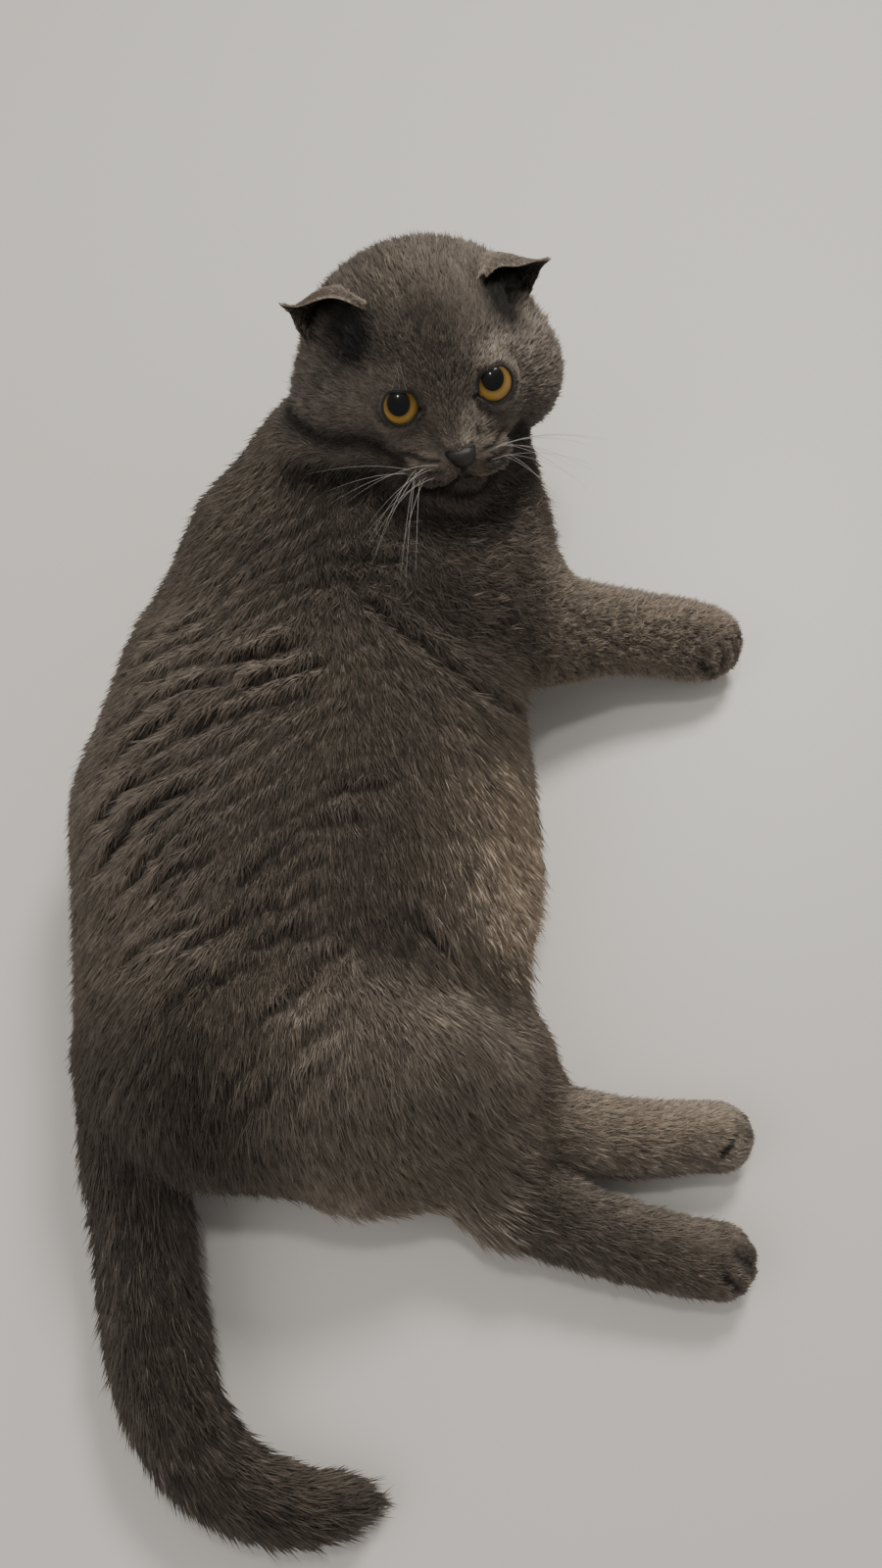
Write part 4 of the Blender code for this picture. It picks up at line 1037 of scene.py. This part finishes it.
def tuft_object(name, S, G, chosen, curved):
    left, right, top, tip, bow, side, width = G
    k = np.flatnonzero(chosen)
    n = len(k)
    if curved:
        mid = 0.5
        root = np.stack([left[k], right[k], top[k]], axis=1)
        body = root * (1 - mid) + tip[k][:, None] * mid
        centre = body.mean(axis=1, keepdims=True)
        body = centre + (body - centre) * 1.1 + bow[k][:, None]
        V = np.concatenate([root, body, tip[k][:, None]], axis=1)
        pattern = np.array([(0, 1, 4), (0, 4, 3), (1, 2, 5), (1, 5, 4), (2, 0, 3), (2, 3, 5), (3, 4, 6), (4, 5, 6), (5, 3, 6)])
        along = np.array([0, 0, 0, 0.5, 0.5, 0.5, 1.0])
        spot = np.array([(-1, 0), (1, 0), (0, 0.2), (-0.8, 0.5), (0.8, 0.5), (0, 0.7), (0, 1)])
    else:
        V = np.stack([left[k], right[k], top[k], tip[k]], axis=1)
        pattern = np.array([(0, 1, 3), (1, 2, 3), (2, 0, 3)])
        along = np.array([0, 0, 0, 1.0])
        spot = np.array([(-1, 0), (1, 0), (0, 0.3), (0, 1)])
    per = V.shape[1]
    V[:, :, 2] = np.maximum(V[:, :, 2], 0.03 + 0.02 * V[:, :, 2].clip(-2, 0) * 0)
    faces = (np.arange(n)[:, None, None] * per + pattern[None]).reshape(-1, 3)
    mesh = bpy.data.meshes.new(name)
    mesh.vertices.add(n * per)
    mesh.vertices.foreach_set("co", to_metres(V.reshape(-1, 3)).astype(np.float32).ravel())
    mesh.loops.add(len(faces) * 3)
    mesh.loops.foreach_set("vertex_index", faces.astype(np.int32).ravel())
    mesh.polygons.add(len(faces))
    mesh.polygons.foreach_set("loop_start", np.arange(0, len(faces) * 3, 3, dtype=np.int32))
    flat = unwrap(S["P"][k], int(S["label"][k[0]]))
    flat = (flat - flat.min(0)) / np.maximum(flat.max(0) - flat.min(0), 1e-6)
    flat = 0.004 + flat * 0.992
    uv = flat[:, None, :] + spot[None] * (0.0015, 0.003) - (0, 0.0015)
    layer = mesh.uv_layers.new(name="OFBake")
    layer.data.foreach_set("uv", uv.reshape(-1, 2)[faces.ravel()].astype(np.float32).ravel())
    for key, value in (("tip", np.tile(along, n)), ("shade", np.repeat(S["shade"][k] * np.clip(1 + 0.15 * S["clump"][k] + 0.14 * S["single"][k], 0.5, 1.6), per)),
                       ("warm", np.repeat(S["warm"][k], per))):
        mesh.attributes.new(key, "FLOAT", "POINT").data.foreach_set("value", value.astype(np.float32))
    mesh.update(calc_edges=True)
    mesh.validate()
    return new_object(name, mesh)


# ---------------------------------------------------------------- materials
def nodes_of(name):
    made = bpy.data.materials.new(name)
    made.use_nodes = True
    tree = made.node_tree
    shader = tree.nodes["Principled BSDF"]
    return made, tree, shader


def math_node(tree, kind, a, b=None):
    node = tree.nodes.new("ShaderNodeMath")
    node.operation = kind
    for k, value in enumerate((a, b)):
        if value is None:
            continue
        if isinstance(value, (int, float)):
            node.inputs[k].default_value = value
        else:
            tree.links.new(value, node.inputs[k])
    return node.outputs[0]


def mix_colour(tree, factor, a, b, kind="MIX"):
    node = tree.nodes.new("ShaderNodeMix")
    node.data_type = "RGBA"
    node.blend_type = kind
    node.clamp_factor = True
    for socket, value in ((node.inputs["Factor"], factor), (node.inputs["A"], a), (node.inputs["B"], b)):
        socket = socket if socket.enabled else next(s for s in node.inputs if s.name == socket.name and s.enabled)
        if isinstance(value, (int, float)):
            socket.default_value = value
        elif isinstance(value, tuple):
            socket.default_value = (*value, 1.0)
        else:
            tree.links.new(value, socket)
    return next(o for o in node.outputs if o.enabled)


def attribute(tree, name):
    node = tree.nodes.new("ShaderNodeAttribute")
    node.attribute_name = name
    return node.outputs["Fac"]


def texture_noise(tree, scale, detail=3.0, rough=0.6, stretch=None):
    coord = tree.nodes.new("ShaderNodeTexCoord")
    node = tree.nodes.new("ShaderNodeTexNoise")
    node.inputs["Scale"].default_value = scale
    node.inputs["Detail"].default_value = detail
    node.inputs["Roughness"].default_value = rough
    out = coord.outputs["Object"]
    if stretch:
        mapping = tree.nodes.new("ShaderNodeMapping")
        mapping.inputs["Scale"].default_value = stretch
        tree.links.new(out, mapping.inputs["Vector"])
        out = mapping.outputs["Vector"]
    tree.links.new(out, node.inputs["Vector"])
    return node.outputs["Fac"]


COOL = (0.254, 0.218, 0.184)
WARM = (0.311, 0.253, 0.196)


def fur_colour(tree):
    """The coat's markings with painted shade and highlights, the same on the skin and on the tufts."""
    base = mix_colour(tree, attribute(tree, "warm"), COOL, WARM)
    fine = texture_noise(tree, 260.0, 2.0)
    shade = math_node(tree, "MULTIPLY", attribute(tree, "shade"), math_node(tree, "ADD", math_node(tree, "MULTIPLY", fine, 0.5), 0.75))
    scale = tree.nodes.new("ShaderNodeVectorMath")
    scale.operation = "SCALE"
    tree.links.new(base, scale.inputs[0])
    tree.links.new(shade, scale.inputs["Scale"])
    return scale.outputs[0]


def coat_material():
    made, tree, shader = nodes_of("coat")
    colour = fur_colour(tree)
    # each tuft darker at its root and lighter at its tip: painted shade down in the coat and painted light on the tips
    tip = attribute(tree, "tip")
    dark = tree.nodes.new("ShaderNodeVectorMath")
    dark.operation = "SCALE"
    tree.links.new(colour, dark.inputs[0])
    tree.links.new(math_node(tree, "ADD", math_node(tree, "MULTIPLY", tip, 1.16), 0.30), dark.inputs["Scale"])
    tree.links.new(dark.outputs[0], shader.inputs["Base Color"])
    shader.inputs["Roughness"].default_value = 0.62
    shader.inputs["Specular IOR Level"].default_value = 0.20
    shader.inputs["Sheen Weight"].default_value = 0.03
    shader.inputs["Sheen Roughness"].default_value = 0.5
    return made


def skin_material():
    made, tree, shader = nodes_of("skin")
    colour = fur_colour(tree)
    low = tree.nodes.new("ShaderNodeVectorMath")
    low.operation = "SCALE"
    low.inputs["Scale"].default_value = 0.45
    tree.links.new(colour, low.inputs[0])
    bare = attribute(tree, "bare")
    leather = mix_colour(tree, texture_noise(tree, 900.0, 2.0), (0.009, 0.008, 0.0085), (0.020, 0.017, 0.0175))
    tree.links.new(mix_colour(tree, bare, low.outputs[0], leather), shader.inputs["Base Color"])
    rough = math_node(tree, "SUBTRACT", 0.85, math_node(tree, "MULTIPLY", bare, 0.37))
    tree.links.new(rough, shader.inputs["Roughness"])
    bump = tree.nodes.new("ShaderNodeBump")
    bump.inputs["Strength"].default_value = 0.5
    bump.inputs["Distance"].default_value = 0.0008
    tree.links.new(texture_noise(tree, 700.0, 3.0), bump.inputs["Height"])
    tree.links.new(bump.outputs["Normal"], shader.inputs["Normal"])
    shader.inputs["Specular IOR Level"].default_value = 0.4
    return made


def eye_material():
    made, tree, shader = nodes_of("eye")
    coord = tree.nodes.new("ShaderNodeTexCoord")
    parts = tree.nodes.new("ShaderNodeSeparateXYZ")
    tree.links.new(coord.outputs["Object"], parts.inputs[0])
    x, y, z = (parts.outputs[k] for k in range(3))
    scale = 1.0 / (EYE_RADIUS * CM)
    x, y = math_node(tree, "MULTIPLY", x, scale), math_node(tree, "MULTIPLY", y, scale)
    out = math_node(tree, "SQRT", math_node(tree, "ADD", math_node(tree, "MULTIPLY", x, x), math_node(tree, "MULTIPLY", y, y)))
    tall = math_node(tree, "MULTIPLY", math_node(tree, "SUBTRACT", y, 0.045), 0.90)
    pupil = math_node(tree, "SQRT", math_node(tree, "ADD", math_node(tree, "MULTIPLY", x, x), math_node(tree, "MULTIPLY", tall, tall)))
    fibre = texture_noise(tree, 1100.0, 3.0)
    spokes = tree.nodes.new("ShaderNodeTexNoise")
    spokes.noise_dimensions = "1D"
    spokes.inputs["Scale"].default_value = 22.0
    spokes.inputs["Detail"].default_value = 2.0
    tree.links.new(math_node(tree, "ARCTAN2", y, x), spokes.inputs["W"])
    bands = tree.nodes.new("ShaderNodeValToRGB")
    tree.links.new(out, bands.inputs["Fac"])
    ring = bands.color_ramp
    ring.elements[0].position, ring.elements[0].color = 0.44, (0.22, 0.11, 0.014, 1)
    ring.elements[1].position, ring.elements[1].color = 0.96, (0.010, 0.007, 0.004, 1)
    for place, colour in ((0.52, (0.34, 0.195, 0.032, 1)), (0.62, (0.50, 0.305, 0.075, 1)), (0.76, (0.38, 0.22, 0.040, 1)), (0.86, (0.12, 0.065, 0.014, 1))):
        mark = ring.elements.new(place)
        mark.color = colour
    vary = math_node(tree, "ADD", math_node(tree, "MULTIPLY", spokes.outputs["Fac"], 0.7), math_node(tree, "MULTIPLY", fibre, 0.3))
    vary = math_node(tree, "ADD", math_node(tree, "MULTIPLY", vary, 0.9), 0.55)
    # painted shade and light: the iris is darker under the upper lid and brightest at the bottom
    lid_shade = math_node(tree, "SUBTRACT", 0.44, math_node(tree, "MULTIPLY", y, 0.50))
    lit = tree.nodes.new("ShaderNodeVectorMath")
    lit.operation = "SCALE"
    tree.links.new(bands.outputs["Color"], lit.inputs[0])
    tree.links.new(math_node(tree, "MULTIPLY", vary, lid_shade), lit.inputs["Scale"])
    edge = tree.nodes.new("ShaderNodeMapRange")
    edge.inputs["From Min"].default_value = 0.455
    edge.inputs["From Max"].default_value = 0.490
    tree.links.new(pupil, edge.inputs["Value"])
    tree.links.new(mix_colour(tree, edge.outputs[0], (0.002, 0.002, 0.0025), lit.outputs[0]), shader.inputs["Base Color"])
    shader.inputs["Roughness"].default_value = 0.30
    shader.inputs["Coat Weight"].default_value = 0.42
    shader.inputs["Coat Roughness"].default_value = 0.03
    shader.inputs["Specular IOR Level"].default_value = 0.08
    return made


def whisker_material():
    made, tree, shader = nodes_of("whisker")
    pale = mix_colour(tree, texture_noise(tree, 120.0, 1.0), (0.25, 0.235, 0.22), (0.38, 0.365, 0.34))
    tree.links.new(pale, shader.inputs["Base Color"])
    shader.inputs["Roughness"].default_value = 0.35
    return made


# ---------------------------------------------------------------- eyes and whiskers
CAMERA_AT = np.array((0.0, 0.0, 70.4))


def make_eye(name, side):
    where = head_point(EYE_AT * (side, 1, 1))
    gaze = unit(CAMERA_AT - where)
    up = unit(HEAD_TURN[:, 2] - (HEAD_TURN[:, 2] @ gaze) * gaze)
    right = np.cross(up, gaze)
    if side > 0:
        gaze = unit(gaze + 0.10 * right + 0.11 * up)
        up = unit(up - (up @ gaze) * gaze)
        right = np.cross(up, gaze)
    mesh = bpy.data.meshes.new(name)
    bm = bmesh.new()
    bmesh.ops.create_uvsphere(bm, u_segments=64, v_segments=48, radius=EYE_RADIUS * CM)
    for v in bm.verts:
        c = v.co.normalized().z
        v.co *= 1.0 + 0.045 * float(ramp(np.array(c), 0.55, 0.95))
    bm.to_mesh(mesh)
    bm.free()
    mesh.shade_smooth()
    obj = new_object(name, mesh)
    turned = Matrix(np.stack([right, up, gaze], axis=1).tolist()).to_4x4()
    obj.matrix_world = Matrix.Translation(Vector(to_metres(where)[0])) @ turned
    return obj


def tube(path, radii, sides=5):
    path = np.array(path, float)
    way = np.gradient(path, axis=0)
    way /= np.linalg.norm(way, axis=1)[:, None]
    ref = np.array((0.3, 0.2, 0.93))
    a = np.cross(way, ref)
    a /= np.linalg.norm(a, axis=1)[:, None]
    b = np.cross(way, a)
    angle = np.linspace(0, 2 * math.pi, sides, endpoint=False)
    ring = path[:, None] + np.array(radii)[:, None, None] * (a[:, None] * np.cos(angle)[None, :, None] + b[:, None] * np.sin(angle)[None, :, None])
    n = len(path)
    faces = [(i * sides + j, (i + 1) * sides + j, (i + 1) * sides + (j + 1) % sides, i * sides + (j + 1) % sides)
             for i in range(n - 1) for j in range(sides)]
    faces += [tuple(range(sides)), tuple((n - 1) * sides + j for j in reversed(range(sides)))]
    return ring.reshape(-1, 3), faces


def lid_margin(side):
    """The bare edge of the lids, a closed band that lies on the eyeball round its opening: (points, faces)."""
    turns, sides = 160, 12
    angle = np.linspace(0, 2 * math.pi, turns, endpoint=False)
    low, high = np.zeros(turns), np.full(turns, 1.25)
    q = np.full((turns, 3), float(side))
    for _ in range(30):
        mid = (low + high) / 2
        r = (mid * np.cos(angle))[:, None] * EYE_S + (mid * np.sin(angle))[:, None] * EYE_V
        out = eye_gap(q, r) > 0
        low, high = np.where(out, low, mid), np.where(out, mid, high)
    mid = low.copy()
    for _ in range(2):
        mid = 0.5 * mid + 0.25 * (np.roll(mid, 1) + np.roll(mid, -1))
    mid += 0.02
    u, v = mid * np.cos(angle), mid * np.sin(angle)
    R = EYE_RADIUS + 0.05
    path = u[:, None] * EYE_S + v[:, None] * EYE_V + np.sqrt(np.maximum(R * R - u * u - v * v, 0.02))[:, None] * EYE_A
    way = np.roll(path, -1, axis=0) - np.roll(path, 1, axis=0)
    way /= np.linalg.norm(way, axis=1)[:, None]
    out = path / np.linalg.norm(path, axis=1)[:, None]
    across = np.cross(way, out)
    size = (1 + 0.2 * np.clip(np.sin(angle), 0, 1)) * (1 - 0.3 * ramp(mid, 0.85, 1.1))
    turn_ = np.linspace(0, 2 * math.pi, sides, endpoint=False)
    ring = path[:, None] + size[:, None, None] * (0.062 * out[:, None] * np.cos(turn_)[None, :, None]
                                                  + 0.072 * across[:, None] * np.sin(turn_)[None, :, None])
    points = (EYE_AT + ring.reshape(-1, 3)) * (side, 1, 1)
    faces = [(i * sides + j, i * sides + (j + 1) % sides, ((i + 1) % turns) * sides + (j + 1) % sides, ((i + 1) % turns) * sides + j)
             for i in range(turns) for j in range(sides)]
    middle = points[:sides].mean(axis=0)
    a, b, c = (points[k] for k in faces[0][:3])
    if np.cross(b - a, c - a) @ (points[0] - middle) < 0:
        faces = [f[::-1] for f in faces]
    return HEAD_AT + points @ HEAD_TURN.T, faces


# whiskers: side, first and last root in the head's frame, how many, and where the first and last hair end on the
# table for the long ones, or in the head's frame for the brow hairs
WHISKERS = [
    (-1, (1.15, -5.85, -2.30), (2.10, -5.15, -2.50), 6, (-4.0, 36.4, 16.5), (-1.7, 32.3, 16.9), 0.55),
    (-1, (1.25, -5.75, -2.75), (2.15, -5.00, -2.95), 5, (-3.2, 35.2, 16.4), (-0.6, 32.0, 16.7), 0.5),
    (-1, (1.60, -5.35, -2.90), (2.35, -4.80, -2.80), 3, (-5.8, 38.6, 16.2), (-4.6, 37.2, 16.3), 0.4),
    (1, (1.15, -5.85, -2.20), (2.10, -5.15, -2.40), 6, (8.2, 39.6, 18.0), (7.2, 37.4, 17.0), 0.5),
    (1, (1.25, -5.75, -2.65), (2.15, -5.00, -2.85), 4, (7.6, 38.6, 16.8), (6.2, 36.8, 16.0), 0.5),
    (-1, (1.9, -4.75, 1.2), (2.6, -4.45, 1.25), 3, None, (2.4, -5.3, 3.4), -0.15),
    (1, (1.9, -4.75, 1.2), (2.6, -4.45, 1.25), 3, None, (2.4, -5.3, 3.4), -0.15),
]


def make_whiskers():
    points, faces, base = [], [], 0
    for side, r0, r1, count, e0, e1, sag in WHISKERS:
        for k in range(count):
            t = k / max(count - 1, 1)
            root = np.array(r0) * (1 - t) + np.array(r1) * t + RNG.normal(0, 0.05, 3)
            root = head_point(root * (side, 1, 1))
            if e0 is None:
                end = head_point((np.array(e1) + RNG.normal(0, 0.25, 3)) * (side, 1, 1))
            else:
                end = np.array(e0) * (1 - t) + np.array(e1) * t + RNG.normal(0, 0.30, 3) * (1, 1, 0.3)
            u = np.linspace(0, 1, 11)[:, None]
            path = root * (1 - u) + end * u
            span = np.linalg.norm(end - root)
            path = path + np.array((0.0, 0.06, 0.22)) * sag * span * (4 * u * (1 - u)) * (1.1 - 0.3 * u)
            thick = 0.014 if e0 is not None else 0.010
            p, f = tube(path, thick * (1 - 0.85 * u[:, 0]))
            points.append(p)
            faces += [tuple(i + base for i in face) for face in f]
            base += len(p)
    P = np.concatenate(points)
    P[:, 2] = np.maximum(P[:, 2], 0.05)
    mesh = bpy.data.meshes.new("whiskers")
    mesh.from_pydata(to_metres(P).tolist(), [], faces)
    mesh.shade_smooth()
    return new_object("whiskers", mesh)


# ---------------------------------------------------------------- the model
skin = make_skin()
samples, F = skin_samples(skin, TRIANGLES_OF_COAT / 3.6)
ears = []
for side in (-1, 1):
    ears += ear_samples(side, 6000)
S = gather([samples] + ears)
G = tuft_points(S)

# the ears' sheets and the edges of the lids join the skin, so that one mesh stands for all the flesh
mesh = skin.data
for key in ("shade", "warm", "bare"):
    mesh.attributes.new(key, "FLOAT", "POINT").data.foreach_set("value", F[key].astype(np.float32))
bm = bmesh.new()
bm.from_mesh(mesh)
layers = [bm.verts.layers.float[key] for key in ("shade", "warm", "bare")]
for side in (-1, 1):
    edge, strips = lid_margin(side)
    count = len(edge)
    for points, faces, shade, warm, bare in (ear_mesh(side), (edge, strips, np.full(count, 0.4), np.full(count, 0.3), np.ones(count))):
        made = []
        for p, values in zip(to_metres(points), zip(shade, warm, bare)):
            v = bm.verts.new(p)
            for layer, value in zip(layers, values):
                v[layer] = float(value)
            made.append(v)
        for f in faces:
            bm.faces.new([made[i] for i in f])
bm.to_mesh(mesh)
bm.free()
mesh.shade_smooth()
mesh.materials.clear()
mesh.materials.append(skin_material())

FLESH = [name for name in frame["nodes"] if name not in ("eye_left", "eye_right")]
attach(skin, "root")
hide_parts(*FLESH)

coat = coat_material()
long_ones = S["length"] > 1.38 + 0.13 * RNG.normal(0, 1, len(S["P"]))
names = {0: "head", 1: "tail", 2: "hind_feet", 3: "forelegs", 4: "trunk"}
for label, name in names.items():
    for curved in (False, True):
        here = (S["label"] == label) & (long_ones == curved)
        total = int(here.sum())
        if total < 20:
            continue
        most = 190_000 // (9 if curved else 3)
        pieces = -(-total // most)
        order = np.flatnonzero(here)
        run = unwrap(S["P"][order], label)[:, 1]
        order = order[np.argsort(run, kind="stable")]
        for k, share in enumerate(np.array_split(order, pieces)):
            chosen = np.zeros(len(S["P"]), bool)
            chosen[share] = True
            piece = tuft_object(f"coat_{name}_{'long' if curved else 'short'}_{k + 1}", S, G, chosen, curved)
            piece.data.materials.append(coat)
            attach(piece, "root")

eyes = eye_material()
for side, name in ((1, "eye_left"), (-1, "eye_right")):
    ball = make_eye(name + "_ball", side)
    ball.data.materials.append(eyes)
    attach(ball, "root")
    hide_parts(name)

whiskers = make_whiskers()
whiskers.data.materials.append(whisker_material())
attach(whiskers, "root")

# ---------------------------------------------------------------- floor, light and camera
floor_mesh = bpy.data.meshes.new("floor")
floor_mesh.from_pydata([(-6, -6, 0), (6, -6, 0), (6, 6, 0), (-6, 6, 0)], [], [(0, 1, 2, 3)])
floor = new_object("floor", floor_mesh)
made, tree, shader = nodes_of("floor")
shader.inputs["Base Color"].default_value = (0.62, 0.60, 0.57, 1)
shader.inputs["Roughness"].default_value = 0.45
floor_mesh.materials.append(made)

world = bpy.data.worlds.new("studio")
bpy.context.scene.world = world
world.use_nodes = True
world.node_tree.nodes["Background"].inputs["Color"].default_value = (1.0, 0.975, 0.94, 1)
world.node_tree.nodes["Background"].inputs["Strength"].default_value = 0.45


def area_light(name, where, aim, size, power, colour):
    data = bpy.data.lights.new(name, "AREA")
    data.shape = "DISK"
    data.size = size
    data.energy = power
    data.color = colour
    lamp = bpy.data.objects.new(name, data)
    bpy.context.scene.collection.objects.link(lamp)
    lamp.location = where
    lamp.rotation_euler = (Vector(aim) - Vector(where)).to_track_quat("-Z", "Y").to_euler()
    return lamp


area_light("key", (0.45, 0.95, 1.5), (0.0, 0.0, 0.05), 0.45, 21.0, (1.0, 0.955, 0.885))
area_light("top", (-0.06, 0.16, 1.7), (0.0, 0.1, 0.1), 0.16, 5.0, (1.0, 0.965, 0.91))
fill = area_light("fill", (-1.1, -0.5, 1.4), (0.0, 0.0, 0.05), 1.2, 6.0, (1.0, 0.97, 0.93))
fill.visible_glossy = False

data = bpy.data.cameras.new("camera")
data.sensor_width = 36.0
data.sensor_fit = "AUTO"
data.lens = 36.0 * 1410.0 / 1600.0
data.clip_start = 0.01
camera = bpy.data.objects.new("camera", data)
bpy.context.scene.collection.objects.link(camera)
VIEW = np.array([[0.999, -0.0445, 0.0], [-0.041, -0.92, 0.3899], [-0.0174, -0.3895, -0.9209]])
right = unit(VIEW[:, 0])
back = unit(-VIEW[:, 2])
up = np.cross(back, right)
camera.matrix_world = Matrix.Translation(Vector(to_metres(CAMERA_AT)[0])) @ Matrix(np.stack([right, up, back], axis=1).tolist()).to_4x4()
bpy.context.scene.camera = camera

bpy.context.view_layer.update()
